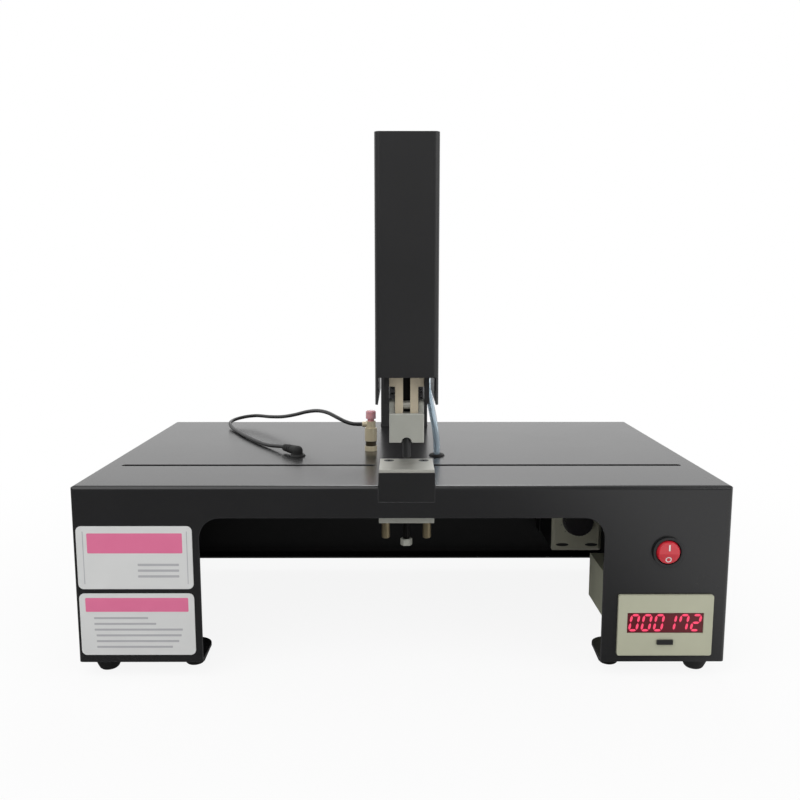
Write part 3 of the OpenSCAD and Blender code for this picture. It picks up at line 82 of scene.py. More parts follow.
# Camera
def set_camera():
    """The camera at the photograph's angle."""
    lens = bpy.data.cameras.new("photo_camera")
    lens.sensor_width = SENSOR_MM
    lens.lens = LENS_MM
    lens.clip_start = 20 * MM
    camera = bpy.data.objects.new("photo_camera", lens)
    bpy.context.scene.collection.objects.link(camera)
    camera.location = (CAMERA_X * MM, FRONT_Y - CAMERA_AWAY * MM, CAMERA_UP * MM)
    camera.rotation_euler = (math.radians(90 - CAMERA_DOWN), 0.0, math.radians(CAMERA_TURN))
    bpy.context.scene.camera = camera


# Materials
def linear(code):
    """An sRGB hex colour as linear values."""
    parts = [int(code[i : i + 2], 16) / 255 for i in (1, 3, 5)]
    return tuple(c / 12.92 if c <= 0.04045 else ((c + 0.055) / 1.055) ** 2.4 for c in parts) + (1.0,)


def add(tree, kind, values=None, links=None, **settings):
    """One node with its settings, its inputs' values and the sockets that feed it."""
    node = tree.nodes.new(kind)
    for key, value in settings.items():
        setattr(node, key, value)
    for key, value in (values or {}).items():
        node.inputs[key].default_value = value
    for key, socket in (links or {}).items():
        tree.links.new(socket, node.inputs[key])
    return node


def new_material(name, values):
    """A material with one Principled shader and its constant values."""
    made = bpy.data.materials.new(name)
    made.use_nodes = True
    tree = made.node_tree
    tree.nodes.clear()
    shader = add(tree, "ShaderNodeBsdfPrincipled", values)
    add(tree, "ShaderNodeOutputMaterial", links={"Surface": shader.outputs["BSDF"]})
    return made, tree, shader


def grain(tree, size_mm, stretch=(1, 1, 1), detail=3.0):
    """Noise in the piece's own space, one cell per given size, drawn out along an axis by stretch."""
    where = add(tree, "ShaderNodeTexCoord").outputs["Object"]
    turned = add(tree, "ShaderNodeMapping", {"Scale": stretch}, {"Vector": where})
    return add(
        tree,
        "ShaderNodeTexNoise",
        {"Scale": 1 / (size_mm * MM), "Detail": detail, "Roughness": 0.55},
        {"Vector": turned.outputs["Vector"]},
    ).outputs["Fac"]


def between(tree, fac, low, high):
    """A 0 to 1 value spread from low to high."""
    return add(
        tree, "ShaderNodeMapRange", {"To Min": low, "To Max": high}, {"Value": fac}
    ).outputs["Result"]


def feed(tree, slot, value):
    """Sets an input to a number or a hex colour, or links another node's output to it."""
    if isinstance(value, str):
        slot.default_value = linear(value)
    elif isinstance(value, float):
        slot.default_value = value
    else:
        tree.links.new(value, slot)


def times(tree, value, other):
    """A value times a number or another value."""
    node = add(tree, "ShaderNodeMath", links={0: value}, operation="MULTIPLY")
    feed(tree, node.inputs[1], other)
    return node.outputs[0]


def blend_colour(tree, fac, one, two):
    """Two colours, given as hex or as a socket, mixed by fac."""
    # Sockets 6 and 7 of a Mix node are its colours
    mix = add(tree, "ShaderNodeMix", links={"Factor": fac}, data_type="RGBA")
    feed(tree, mix.inputs[6], one)
    feed(tree, mix.inputs[7], two)
    return mix.outputs[2]


def rounded_edges(tree, radius_mm):
    """The normal with edges eased over a radius, and a mask that is 1 along them."""
    # How well the eased and the flat normal agree where the mask starts and where it is full
    starts, full = 0.995, 0.86
    eased = add(tree, "ShaderNodeBevel", {"Radius": radius_mm * MM}, samples=6).outputs["Normal"]
    flat = add(tree, "ShaderNodeNewGeometry").outputs["Normal"]
    same = add(
        tree, "ShaderNodeVectorMath", links={0: eased, 1: flat}, operation="DOT_PRODUCT"
    ).outputs["Value"]
    mask = add(
        tree,
        "ShaderNodeMapRange",
        {"From Min": starts, "From Max": full, "To Min": 0.0, "To Max": 1.0},
        {"Value": same},
    ).outputs["Result"]
    return eased, mask


def finish_of(name, colour, other, rough, spread, grain_mm, bump_mm, edge_mm=0.4, wear_and_highlight=None,
              stretch=(1, 1, 1), mottle_mm=30.0, **values):
    """A solid finish: two close colours in soft patches, uneven gloss, a fine bump and eased edges that
    may take a third colour: wear, and on the table's black paint also a painted highlight. Values go
    straight to the shader's sockets."""
    made, tree, shader = new_material(name, values)
    patch = grain(tree, mottle_mm, detail=2.0)
    fine = grain(tree, grain_mm, stretch)
    colours = blend_colour(tree, patch, colour, other)
    eased, mask = rounded_edges(tree, edge_mm)
    if wear_and_highlight:
        # The edge colour, wear and on the table's paint also a painted highlight, follows the grain, from a
        # quarter to all of it
        wear_and_highlight_mask = times(tree, mask, between(tree, fine, 0.25, 1.0))
        colours = blend_colour(tree, wear_and_highlight_mask, colours, wear_and_highlight)
    tree.links.new(colours, shader.inputs["Base Color"])
    patchy = between(tree, patch, -spread, spread)
    even = between(tree, fine, rough - spread, rough + spread)
    gloss = add(tree, "ShaderNodeMath", links={0: patchy, 1: even}, operation="ADD").outputs["Value"]
    tree.links.new(gloss, shader.inputs["Roughness"])
    bump = add(
        tree,
        "ShaderNodeBump",
        {"Strength": 1.0, "Distance": bump_mm * MM},
        {"Height": fine, "Normal": eased},
    )
    tree.links.new(bump.outputs["Normal"], shader.inputs["Normal"])
    return made


def recolour_between(made, axis, low, high, colour):
    """Gives a material another colour between two planes across an axis."""
    tree = made.node_tree
    shader = next(n for n in tree.nodes if n.type == "BSDF_PRINCIPLED")
    front = shader.inputs["Base Color"].links[0].from_socket
    where = add(tree, "ShaderNodeTexCoord").outputs["Object"]
    along = add(tree, "ShaderNodeSeparateXYZ", links={0: where}).outputs[axis]
    middle = {1: (low + high) / 2, 2: (high - low) / 2}
    inside = add(tree, "ShaderNodeMath", middle, {0: along}, operation="COMPARE").outputs[0]
    tree.links.new(blend_colour(tree, inside, front, colour), shader.inputs["Base Color"])


def make_materials():
    """Every finish of the machine, by a short name."""
    m = {}
    # Powder-coated steel: a baked film with a fine orange peel of about 1 mm, drawn at 1.6 mm so that it
    # shows, satin from in front and mirror-like at a low angle
    # Its pale edge colour is partly wear and partly a painted highlight on the shell's bends, seen along the
    # table top's front edge
    m["paint"] = finish_of(
        "powder_coated_steel_black", "#1e1e1f", "#222223", rough=0.24, spread=0.02, grain_mm=1.6,
        bump_mm=0.008, edge_mm=0.9, wear_and_highlight="#4a4a4c", mottle_mm=70.0, IOR=1.5,
    )
    # The same film on the tower, rubbed duller by hands
    m["cover_paint"] = finish_of(
        "powder_coated_steel_satin", "#1d1d1e", "#212122", rough=0.4, spread=0.03, grain_mm=1.6,
        bump_mm=0.01, edge_mm=0.7, wear_and_highlight="#3a3a3c", mottle_mm=60.0, IOR=1.5,
    )
    # The same film on the rear panel under the table, dusty and without a gloss
    m["dull_paint"] = finish_of(
        "powder_coated_steel_dull", "#1f1f20", "#232324", rough=0.55, spread=0.03, grain_mm=1.6,
        bump_mm=0.012, edge_mm=0.7, wear_and_highlight="#28282a", mottle_mm=70.0, IOR=1.45,
    )
    # The same film on the thick machined frame, a little duller
    m["frame_paint"] = finish_of(
        "painted_bar_steel_black", "#19191a", "#1e1e1f", rough=0.4, spread=0.04, grain_mm=1.4,
        bump_mm=0.015, edge_mm=0.5, wear_and_highlight="#39393a", mottle_mm=45.0, IOR=1.5,
    )
    # The same film on the column, painted a lighter grey as painted light, so that it and its reflection in
    # the table top show pale
    m["column_paint"] = finish_of(
        "painted_bar_steel_lightened", "#2b2b2c", "#303031", rough=0.5, spread=0.04, grain_mm=1.4,
        bump_mm=0.015, edge_mm=0.5, wear_and_highlight="#454546", mottle_mm=45.0, IOR=1.5,
    )
    # Black-oxide steel: a thin dark film, faintly brown where it is rubbed
    m["oxide_and_shade"] = finish_of(
        "black_oxide_steel", "#1b1b1c", "#242321", rough=0.36, spread=0.05, grain_mm=0.8, bump_mm=0.008,
        edge_mm=0.25, wear_and_highlight="#5a5855", Metallic=0.85,
    )
    # Moulded rubber: matte and slightly dusty
    m["rubber"] = finish_of(
        "moulded_rubber_black", "#161616", "#202020", rough=0.72, spread=0.05, grain_mm=1.2, bump_mm=0.03,
        edge_mm=0.6, wear_and_highlight="#2c2c2c", mottle_mm=12.0, IOR=1.52,
    )
    # PVC cable jacket: extruded, a soft even sheen along its length
    m["jacket"] = finish_of(
        "pvc_cable_jacket_black", "#1a1a1b", "#222223", rough=0.42, spread=0.04, grain_mm=1.0, bump_mm=0.01,
        edge_mm=0.2, IOR=1.52,
    )
    # Bright zinc on turned and cut steel: pale, a little cloudy
    m["zinc"] = finish_of(
        "zinc_plated_steel", "#c6c7c6", "#b2b4b6", rough=0.3, spread=0.06, grain_mm=1.0, bump_mm=0.008,
        edge_mm=0.3, wear_and_highlight="#e2e2e0", Metallic=1.0, mottle_mm=9.0,
    )
    # Drawn spring wire: grey, faintly patchy
    m["wire"] = finish_of(
        "drawn_spring_wire", "#8d9092", "#7b7e80", rough=0.32, spread=0.05, grain_mm=0.6, bump_mm=0.005,
        edge_mm=0.1, Metallic=1.0, mottle_mm=5.0,
    )
    # Galvanised staple wire: bright
    m["staples"] = finish_of(
        "galvanised_staple_wire", "#c9cbcc", "#babdbe", rough=0.26, spread=0.05, grain_mm=0.5,
        bump_mm=0.004, edge_mm=0.08, Metallic=1.0, mottle_mm=4.0,
    )
    # Ground tool steel: fine upright grinding lines about 0.3 mm apart, drawn at 0.9 mm so that they show
    m["steel"] = finish_of(
        "ground_tool_steel", "#c9c8bf", "#bdbcb4", rough=0.36, spread=0.05, grain_mm=0.9, bump_mm=0.01,
        edge_mm=0.5, wear_and_highlight="#e2e1da", stretch=(1, 1, 0.06), Metallic=0.5, mottle_mm=14.0,
    )
    # The nose: the same ground steel with wide, bright bevels
    m["nose"] = finish_of(
        "ground_nose_steel", "#b4b5ac", "#a7a8a0", rough=0.42, spread=0.05, grain_mm=0.9, bump_mm=0.01,
        edge_mm=1.6, wear_and_highlight="#d9dad5", stretch=(1, 1, 0.06), Metallic=0.35, mottle_mm=14.0,
    )
    # Stamped magazine sheet: rolled steel with lines along its length
    m["sheet"] = finish_of(
        "rolled_sheet_steel", "#a9abad", "#989b9d", rough=0.36, spread=0.05, grain_mm=0.9, bump_mm=0.01,
        edge_mm=0.35, wear_and_highlight="#c9cbcc", stretch=(1, 0.06, 1), Metallic=1.0, mottle_mm=14.0,
    )
    # Hard chrome: nearly a mirror
    m["chrome"] = finish_of(
        "hard_chrome_rod", "#d9dbdc", "#cfd2d4", rough=0.12, spread=0.02, grain_mm=0.8, bump_mm=0.002,
        edge_mm=0.3, Metallic=1.0,
    )
    # Yellow zinc on the hanger: pale cream with a rosy and greenish cast
    m["yellow_zinc"] = finish_of(
        "yellow_zinc_steel", "#dccfb4", "#cabfaa", rough=0.36, spread=0.06, grain_mm=1.1, bump_mm=0.01,
        edge_mm=0.4, wear_and_highlight="#efe8d6", Metallic=0.4, mottle_mm=6.0,
    )
    # The same plating on the posts, painted darker as painted shade for where they stand under the table
    m["shaded_zinc"] = finish_of(
        "yellow_zinc_steel_shaded", "#93876c", "#85795f", rough=0.36, spread=0.06, grain_mm=1.1,
        bump_mm=0.01, edge_mm=0.4, wear_and_highlight="#b3a88c", Metallic=0.7, mottle_mm=6.0,
    )
    # Bright zinc on the loose nut and clamp plate: cloudy, little mirror left
    m["cloudy_zinc"] = finish_of(
        "zinc_plated_steel_cloudy", "#b9bab0", "#a9aaa2", rough=0.42, spread=0.06, grain_mm=1.0,
        bump_mm=0.01, edge_mm=0.5, wear_and_highlight="#d6d6cf", Metallic=0.35, mottle_mm=8.0,
    )
    # Machined aluminium: pale grey, fine turning marks
    m["aluminium"] = finish_of(
        "machined_aluminium", "#b3b6b9", "#a4a7aa", rough=0.33, spread=0.05, grain_mm=0.9, bump_mm=0.008,
        edge_mm=0.4, wear_and_highlight="#cdd0d2", stretch=(1, 1, 0.2), Metallic=1.0, mottle_mm=12.0,
    )
    # Turned brass: warm, bright on edges
    m["brass"] = finish_of(
        "turned_brass", "#c9a861", "#b99551", rough=0.24, spread=0.05, grain_mm=0.8, bump_mm=0.006,
        edge_mm=0.3, wear_and_highlight="#e0c98c", Metallic=1.0, mottle_mm=6.0,
    )
    # Moulded black ABS: fine spark texture
    m["abs_black"] = finish_of(
        "moulded_abs_black", "#171819", "#1d1e1f", rough=0.42, spread=0.05, grain_mm=0.9, bump_mm=0.012,
        edge_mm=0.3, wear_and_highlight="#2a2b2c", mottle_mm=10.0, IOR=1.53,
    )
    # Red polycarbonate rocker: glossy, lit a little from inside by the light that it passes
    m["rocker_red"] = finish_of(
        "polycarbonate_red_rocker", "#c3202c", "#d23140", rough=0.12, spread=0.02, grain_mm=2.0,
        bump_mm=0.004, edge_mm=0.5, mottle_mm=6.0, IOR=1.58, **{"Coat Weight": 0.4, "Coat Roughness": 0.05,
        "Subsurface Weight": 0.15, "Subsurface Scale": 0.004},
    )
    # Red acrylic cap: pinkish and cloudy where the light goes through
    m["cap_red"] = finish_of(
        "acrylic_red_cap", "#dc9198", "#e6b6ba", rough=0.18, spread=0.03, grain_mm=1.5, bump_mm=0.005,
        edge_mm=0.4, wear_and_highlight="#e9b4b9", mottle_mm=4.0, IOR=1.49, **{"Subsurface Weight": 0.35,
        "Subsurface Scale": 0.003},
    )
    # Beige ABS counter case: matte, slightly greenish
    m["beige"] = finish_of(
        "moulded_abs_beige", "#b8b9a2", "#b0b19b", rough=0.48, spread=0.05, grain_mm=1.2, bump_mm=0.012,
        edge_mm=0.5, wear_and_highlight="#c9c7b2", mottle_mm=20.0, IOR=1.53,
    )
    # Tinted acrylic window: dark red with a gloss
    m["window"] = finish_of(
        "tinted_acrylic_red", "#5a1620", "#641a25", rough=0.1, spread=0.02, grain_mm=3.0, bump_mm=0.002,
        edge_mm=0.3, mottle_mm=15.0, IOR=1.49,
    )
    # Timer case: grey-green in its front 5 mm, near black from there back
    m["timer"] = finish_of(
        "moulded_abs_grey", "#b6b5a2", "#adac9a", rough=0.46, spread=0.05, grain_mm=1.2, bump_mm=0.012,
        edge_mm=0.5, wear_and_highlight="#aaa99a", mottle_mm=15.0, IOR=1.53,
    )
    low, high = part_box("timer_box")
    front_deep = 5 * MM
    recolour_between(m["timer"], "Y", low.y + front_deep, high.y + front_deep, "#151516")
    # Bakelite knob: dark grey and glossy
    m["knob"] = finish_of(
        "bakelite_black", "#2a282b", "#312f32", rough=0.22, spread=0.03, grain_mm=1.5, bump_mm=0.004,
        edge_mm=0.4, wear_and_highlight="#454346", mottle_mm=8.0, IOR=1.6,
    )
    # Polyurethane hose: clear blue and a little milky, its wall pale where light runs along it
    m["hose"] = finish_of(
        "polyurethane_hose_blue", "#e2f0fa", "#e9f5fc", rough=0.06, spread=0.02, grain_mm=3.0,
        bump_mm=0.002, edge_mm=0.2, mottle_mm=14.0, IOR=1.45, **{"Transmission Weight": 0.78},
    )
    # Nickel-plated switch barrel: turned, yellowed, with painted shade in its groove
    m["barrel"] = finish_of(
        "nickel_plated_brass_yellowed", "#dccfb2", "#ccc1a3", rough=0.34, spread=0.05, grain_mm=1.0,
        bump_mm=0.012, edge_mm=0.4, wear_and_highlight="#d6cbb0", stretch=(1, 1, 3), Metallic=0.25, mottle_mm=5.0,
    )
    groove_shade_low, groove_shade_high = 4.5 * MM, 9.0 * MM
    # The dark band is painted shade where the groove lies
    recolour_between(m["barrel"], "Z", TABLE_Z + groove_shade_low, TABLE_Z + groove_shade_high, "#3f3626")
    # Coated label film: white and smooth, with a faint grey cast
    m["label"] = finish_of(
        "coated_label_film_white", "#d6d7d6", "#cfd0cf", rough=0.4, spread=0.04, grain_mm=1.5,
        bump_mm=0.004, edge_mm=0.2, mottle_mm=25.0, IOR=1.5,
    )
    # Screen ink on the labels and dials
    m["ink_pink"] = finish_of(
        "screen_ink_pink", "#e0739a", "#da6b93", rough=0.42, spread=0.04, grain_mm=1.0, bump_mm=0.004,
        edge_mm=0.05, mottle_mm=18.0,
    )
    for key, one, two in (
        ("grey", "#a9a9ad", "#b0b0b3"), ("black", "#1d1d1b", "#262624"), ("white", "#e9e6e4", "#dedbd8"),
    ):
        m["ink_" + key] = finish_of(
            "screen_ink_" + key, one, two, rough=0.45, spread=0.04, grain_mm=1.0, bump_mm=0.003, edge_mm=0.05,
        )
    # Lit display segment: bars that glow through the window
    m["lit"] = finish_of(
        "lit_display_segment", "#e23a5c", "#ea4d6c", rough=0.3, spread=0.03, grain_mm=1.2, bump_mm=0.002,
        edge_mm=0.05, mottle_mm=3.0, **{"Emission Color": linear("#e83a5e"), "Emission Strength": 0.65},
    )
    return m


FINISH_OF_NODE = {
    "paint": ["table_shell"],
    "cover_paint": ["tower_cover", "tower_back"],
    "dull_paint": ["rear_panel"],
    "frame_paint": ["base_beam", "arm", "anvil_pedestal", "guide_cheeks"],
    "column_paint": ["column"],
    # ram_block takes this dark finish as painted shade: it darkens what shows in the gap between the hanger's
    # straps
    "oxide_and_shade": ["frame_bolts", "flat_screws", "jack_screw", "ram_block", "driver_blade"],
    "rubber": ["feet", "grommets", "piston_seals"],
    "jacket": ["trigger_cable"],
    "zinc": ["foot_screws", "tie_rods"],
    "cloudy_zinc": ["anvil_clamp_plate", "jack_nut"],
    "wire": ["return_spring", "hold_down_spring", "pusher_spring", "follow_springs"],
    "staples": ["staple_strip"],
    "steel": ["anvil_plate", "hanger_pin"],
    "nose": ["nose_block"],
    "sheet": ["magazine_body", "magazine_rail"],
    "chrome": ["piston_rod"],
    "yellow_zinc": ["head_hanger"],
    "shaded_zinc": ["anvil_posts"],
    "aluminium": ["cylinder_barrel", "cylinder_top_cap", "cylinder_bottom_cap", "piston", "valve_body"],
    "brass": ["port_fitting", "air_inlet"],
    "abs_black": [
        "rocker_frame", "reset_button", "hold_down_plunger", "staple_pusher", "power_inlet", "valve_coil",
        "timer_socket", "counter_terminals",
    ],
    "rocker_red": ["rocker"],
    "cap_red": ["trigger_button"],
    "beige": ["counter_case"],
    "window": ["counter_window"],
    "timer": ["timer_box"],
    "knob": ["timer_knob"],
    "hose": ["air_hose"],
    "barrel": ["trigger_body"],
    "label": ["label_plates"],
}


def dress_cad_nodes(materials):
    """Puts the right finish in every CAD node's material slots."""
    for key, nodes in FINISH_OF_NODE.items():
        for name in nodes:
            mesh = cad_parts[name].data
            if not mesh.materials:
                mesh.materials.append(None)
            for i in range(len(mesh.materials)):
                mesh.materials[i] = materials[key]


# Mesh helpers
def piece_from(name, mesh, material, body):
    """A finished piece at the origin, riding on a body."""
    piece = bpy.data.objects.new(name, mesh)
    bpy.context.scene.collection.objects.link(piece)
    if material:
        mesh.materials.clear()
        mesh.materials.append(material)
    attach(piece, body)
    return piece


def mesh_from(name, builder, smooth=False):
    """A mesh filled by a function that adds to a bmesh."""
    work = bmesh.new()
    builder(work)
    bmesh.ops.recalc_face_normals(work, faces=work.faces)
    mesh = bpy.data.meshes.new(name)
    work.to_mesh(mesh)
    work.free()
    for face in mesh.polygons:
        face.use_smooth = smooth
    return mesh


def join_rings(work, one, two):
    """A closed band of faces between two rings of corners."""
    count = len(one)
    for k in range(count):
        n = (k + 1) % count
        work.faces.new((one[k], one[n], two[n], two[k]))


def smooth_line(points, steps):
    """A smooth curve through points, as the part's own routes have."""
    points = [Vector(p) for p in points]
    out = []
    for i in range(len(points) - 1):
        a, b, c = points[max(i - 1, 0)], points[i], points[i + 1]
        d = points[min(i + 2, len(points) - 1)]
        square = 2 * a - 5 * b + 4 * c - d
        cube = 3 * b - a - 3 * c + d
        for j in range(steps):
            t = j / steps
            out.append(0.5 * (2 * b + (c - a) * t + square * t**2 + cube * t**3))
    return out + [points[-1]]


def add_tube(work, points, radius, sides, bore=0.0):
    """A closed round bar along points, or a pipe where it has a bore."""
    last = len(points) - 1
    heads = [(points[min(i + 1, last)] - points[max(i - 1, 0)]).normalized() for i in range(last + 1)]
    side = heads[0].orthogonal().normalized()
    turns = [2 * math.pi * k / sides for k in range(sides)]
    walls = [[], []]
    for point, head in zip(points, heads):
        side = (side - head * side.dot(head)).normalized()
        up = head.cross(side)
        for wall, reach in zip(walls, (radius, bore)):
            if reach:
                around = [reach * (math.cos(a) * side + math.sin(a) * up) for a in turns]
                wall.append([work.verts.new(point + out) for out in around])
    outer, inner = walls
    for rings in walls:
        for one, two in zip(rings, rings[1:]):
            join_rings(work, one, two)
    for end in (0, -1):
        if bore:
            join_rings(work, outer[end], inner[end])
        else:
            work.faces.new(outer[end])


def add_rounded_plate(work, width, height, thick, corner, centre):
    """An upright plate with round corners, its back at the centre's y and its face a thickness in front."""
    rim = []
    for cx, cz, start in ((1, 1, 0), (-1, 1, 90), (-1, -1, 180), (1, -1, 270)):
        for k in range(CORNER_STEPS + 1):
            a = math.radians(start + 90 * k / CORNER_STEPS)
            x = cx * (width / 2 - corner) + corner * math.cos(a)
            z = cz * (height / 2 - corner) + corner * math.sin(a)
            rim.append((x, z))
    back = [work.verts.new(centre + Vector((x, 0, z))) for x, z in rim]
    front = [work.verts.new(centre + Vector((x, -thick, z))) for x, z in rim]
    join_rings(work, back, front)
    work.faces.new(back)
    work.faces.new(front)


# Geometry Nodes
def new_tree(name, inputs):
    """An empty node tree with named inputs, each as name, socket type and value."""
    tree = bpy.data.node_groups.new(name, "GeometryNodeTree")
    tree.interface.new_socket("Geometry", in_out="INPUT", socket_type="NodeSocketGeometry")
    for label, kind, value in inputs:
        tree.interface.new_socket(label, in_out="INPUT", socket_type=kind).default_value = value
    tree.interface.new_socket("Geometry", in_out="OUTPUT", socket_type="NodeSocketGeometry")
    return tree, tree.nodes.new("NodeGroupInput").outputs


def close_tree(tree, geometry, material):
    """Ends a tree: instances made real, then the material."""
    real = add(tree, "GeometryNodeRealizeInstances", links={0: geometry}).outputs[0]
    painted = add(tree, "GeometryNodeSetMaterial", {"Material": material}, {"Geometry": real}).outputs[0]
    add(tree, "NodeGroupOutput", links={0: painted})


def grown_piece(name, tree, start_mesh, values, body, at):
    """A piece made by a node tree from a start mesh and moved to its place, as plain mesh at the origin."""
    holder = bpy.data.objects.new(name + "_start", start_mesh)
    bpy.context.scene.collection.objects.link(holder)
    modifier = holder.modifiers.new("grow", "NODES")
    modifier.node_group = tree
    for item in tree.interface.items_tree:
        if item.item_type == "SOCKET" and item.in_out == "INPUT" and item.name in values:
            modifier[item.identifier] = values[item.name]
    graph = bpy.context.evaluated_depsgraph_get()
    mesh = bpy.data.meshes.new_from_object(holder.evaluated_get(graph))
    mesh.name = name
    holder.modifiers.remove(modifier)
    bpy.data.objects.remove(holder)
    mesh.transform(at)
    return piece_from(name, mesh, None, body)


def points_mesh(name, rows):
    """A mesh of loose points, each with a turn about y in radians."""
    mesh = bpy.data.meshes.new(name)
    mesh.from_pydata([r[0] for r in rows], [], [])
    turn = mesh.attributes.new("turn", "FLOAT", "POINT")
    turn.data.foreach_set("value", [r[1] for r in rows])
    return mesh


def bar_instances_tree(name, material, sides):
    """Flat bars on points: each is a many-sided outline, stretched to a length and width, turned by the
    point's own turn about y, given a thickness and then slanted."""
    tree, given = new_tree(
        name,
        [
            ("Length", "NodeSocketFloat", 4 * MM),
            ("Width", "NodeSocketFloat", 1 * MM),
            ("Thickness", "NodeSocketFloat", 0.2 * MM),
            ("Slant", "NodeSocketFloat", 0.0),
        ],
    )
    outline = add(
        tree, "GeometryNodeMeshCircle", {"Vertices": sides, "Radius": 0.5}, fill_type="NGON"
    ).outputs[0]
    upright = add(
        tree, "GeometryNodeTransform", {"Rotation": (math.radians(90), 0, 0)}, {"Geometry": outline}
    ).outputs[0]
    size = add(tree, "ShaderNodeCombineXYZ", {1: 1.0}, {0: given["Length"], 2: given["Width"]}).outputs[0]
    bar = add(tree, "GeometryNodeTransform", links={"Geometry": upright, "Scale": size}).outputs[0]
    thick = add(
        tree,
        "GeometryNodeExtrudeMesh",
        {"Offset": (0, -1, 0), "Individual": False},
        {"Mesh": bar, "Offset Scale": given["Thickness"]},
    )
    turn = add(
        tree, "GeometryNodeInputNamedAttribute", {"Name": "turn"}, data_type="FLOAT"
    ).outputs["Attribute"]
    spin = add(tree, "ShaderNodeCombineXYZ", links={1: turn}).outputs[0]
    copies = add(
        tree,
        "GeometryNodeInstanceOnPoints",
        links={"Points": given["Geometry"], "Instance": thick.outputs["Mesh"], "Rotation": spin},
    ).outputs[0]
    solid = add(tree, "GeometryNodeRealizeInstances", links={0: copies}).outputs[0]
    spot = add(tree, "GeometryNodeInputPosition").outputs[0]
    height = add(tree, "ShaderNodeSeparateXYZ", links={0: spot}).outputs[2]
    lean = times(tree, height, given["Slant"])
    offset = add(tree, "ShaderNodeCombineXYZ", links={0: lean}).outputs[0]
    leaned = add(tree, "GeometryNodeSetPosition", links={"Geometry": solid, "Offset": offset}).outputs[0]
    close_tree(tree, leaned, material)
    return tree


# Seven segments of a digit as place in half widths and half heights, and whether each stands upright
SEGMENTS = {
    "a": (0, 1, False), "b": (1, 0.5, True), "c": (1, -0.5, True), "d": (0, -1, False),
    "e": (-1, -0.5, True), "f": (-1, 0.5, True), "g": (0, 0, False),
}
LIT = {"0": "abcdef", "1": "bc", "2": "abged", "7": "abcf"}


def make_counter_digits(materials):
    """The display's lit bars, slanted as on such counters, in mm."""
    half_w, half_h, pitch = 2.8, 6.0, 9.4
    bar_long, bar_wide, bar_thick, slant = 5.3, 2.0, 0.15, math.radians(9)
    text = "000172"
    rows = []
    for i, digit in enumerate(text):
        middle = (i - (len(text) - 1) / 2) * pitch
        for key in LIT[digit]:
            x, z, upright = SEGMENTS[key]
            spot = Vector((middle + x * half_w, 0, z * half_h)) * MM
            rows.append((spot, math.radians(90) if upright else 0.0))
    tree = bar_instances_tree("display_bars", materials["lit"], sides=6)
    low, _, mid = box_of("counter_window")
    at = Matrix.Translation((mid.x, low.y + PRINT_SINK, mid.z))
    sizes = {"Length": bar_long * MM, "Width": bar_wide * MM, "Thickness": bar_thick * MM}
    sizes["Slant"] = math.tan(slant)
    start = points_mesh("digit_points", rows)
    grown_piece("counter_digits", tree, start, sizes, "machine", at)


def make_timer_scale(materials):
    """Dial ticks round the timer's knob, and the two printed dashes under it, in mm."""
    tick_gap, tick_long, tick_wide, ink = 1.6, 2.0, 0.7, 0.05
    ticks, first, last = 11, math.radians(-135), math.radians(135)
    dash_out, dash_up, dash_long, dash_wide = 14, 6.4, 12.5, 3.2
    low = box_of("timer_box")[0]
    knob_low, knob_high, knob = box_of("timer_knob")
    face_y = low.y + PRINT_SINK
    reach = (knob_high.x - knob_low.x) / 2 + tick_gap * MM
    rows = []
    for k in range(ticks):
        a = first + (last - first) * k / (ticks - 1)
        rows.append((Vector((reach * math.sin(a), 0, reach * math.cos(a))), a + math.radians(90)))
    tree = bar_instances_tree("dial_ticks", materials["ink_black"], sides=4)
    sizes = {"Length": tick_long * MM, "Width": tick_wide * MM, "Thickness": ink * MM, "Slant": 0.0}
    start = points_mesh("tick_points", rows)
    at = Matrix.Translation((knob.x, face_y, knob.z))
    grown_piece("timer_dial_ticks", tree, start, sizes, "machine", at)
    dashes = [(Vector((x * MM, 0, 0)), 0.0) for x in (-dash_out, dash_out)]
    tree = bar_instances_tree("dial_dashes", materials["ink_black"], sides=12)
    sizes = {"Length": dash_long * MM, "Width": dash_wide * MM, "Thickness": ink * MM, "Slant": 0.0}
    start = points_mesh("dash_points", dashes)
    at = Matrix.Translation((knob.x, face_y, low.z + dash_up * MM))
    grown_piece("timer_dashes", tree, start, sizes, "machine", at)


def make_knob_grip(materials):
    """Round ribs all the way round the knob's front part, in mm."""
    ribs, rib_r, rib_long, rib_back, rib_sunk = 28, 0.75, 4.2, 2.6, 0.1
    taper = 0.9  # the knob's front radius as a share of its widest
    tree, given = new_tree(
        "knob_ribs",
        [
            ("Count", "NodeSocketInt", 24),
            ("Reach", "NodeSocketFloat", 10 * MM),
            ("Rib Radius", "NodeSocketFloat", 1 * MM),
            ("Rib Length", "NodeSocketFloat", 4 * MM),
        ],
    )
    ring = add(
        tree, "GeometryNodeMeshCircle", links={"Vertices": given["Count"], "Radius": given["Reach"]}
    ).outputs[0]
    rib = add(
        tree,
        "GeometryNodeMeshCylinder",
        {"Vertices": 10},
        {"Radius": given["Rib Radius"], "Depth": given["Rib Length"]},
    ).outputs[0]
    copies = add(tree, "GeometryNodeInstanceOnPoints", links={"Points": ring, "Instance": rib}).outputs[0]
    facing = add(
        tree, "GeometryNodeTransform", {"Rotation": (math.radians(90), 0, 0)}, {"Geometry": copies}
    ).outputs[0]
    close_tree(tree, facing, materials["knob"])
    low, high, mid = box_of("timer_knob")
    reach = (high.x - low.x) / 2 * taper - rib_sunk * MM
    at = Matrix.Translation((mid.x, low.y + rib_back * MM, mid.z))
    sizes = {"Count": ribs, "Reach": reach, "Rib Radius": rib_r * MM, "Rib Length": rib_long * MM}
    start = bpy.data.meshes.new("knob_start")
    grown_piece("timer_knob_ribs", tree, start, sizes, "timer_knob", at)


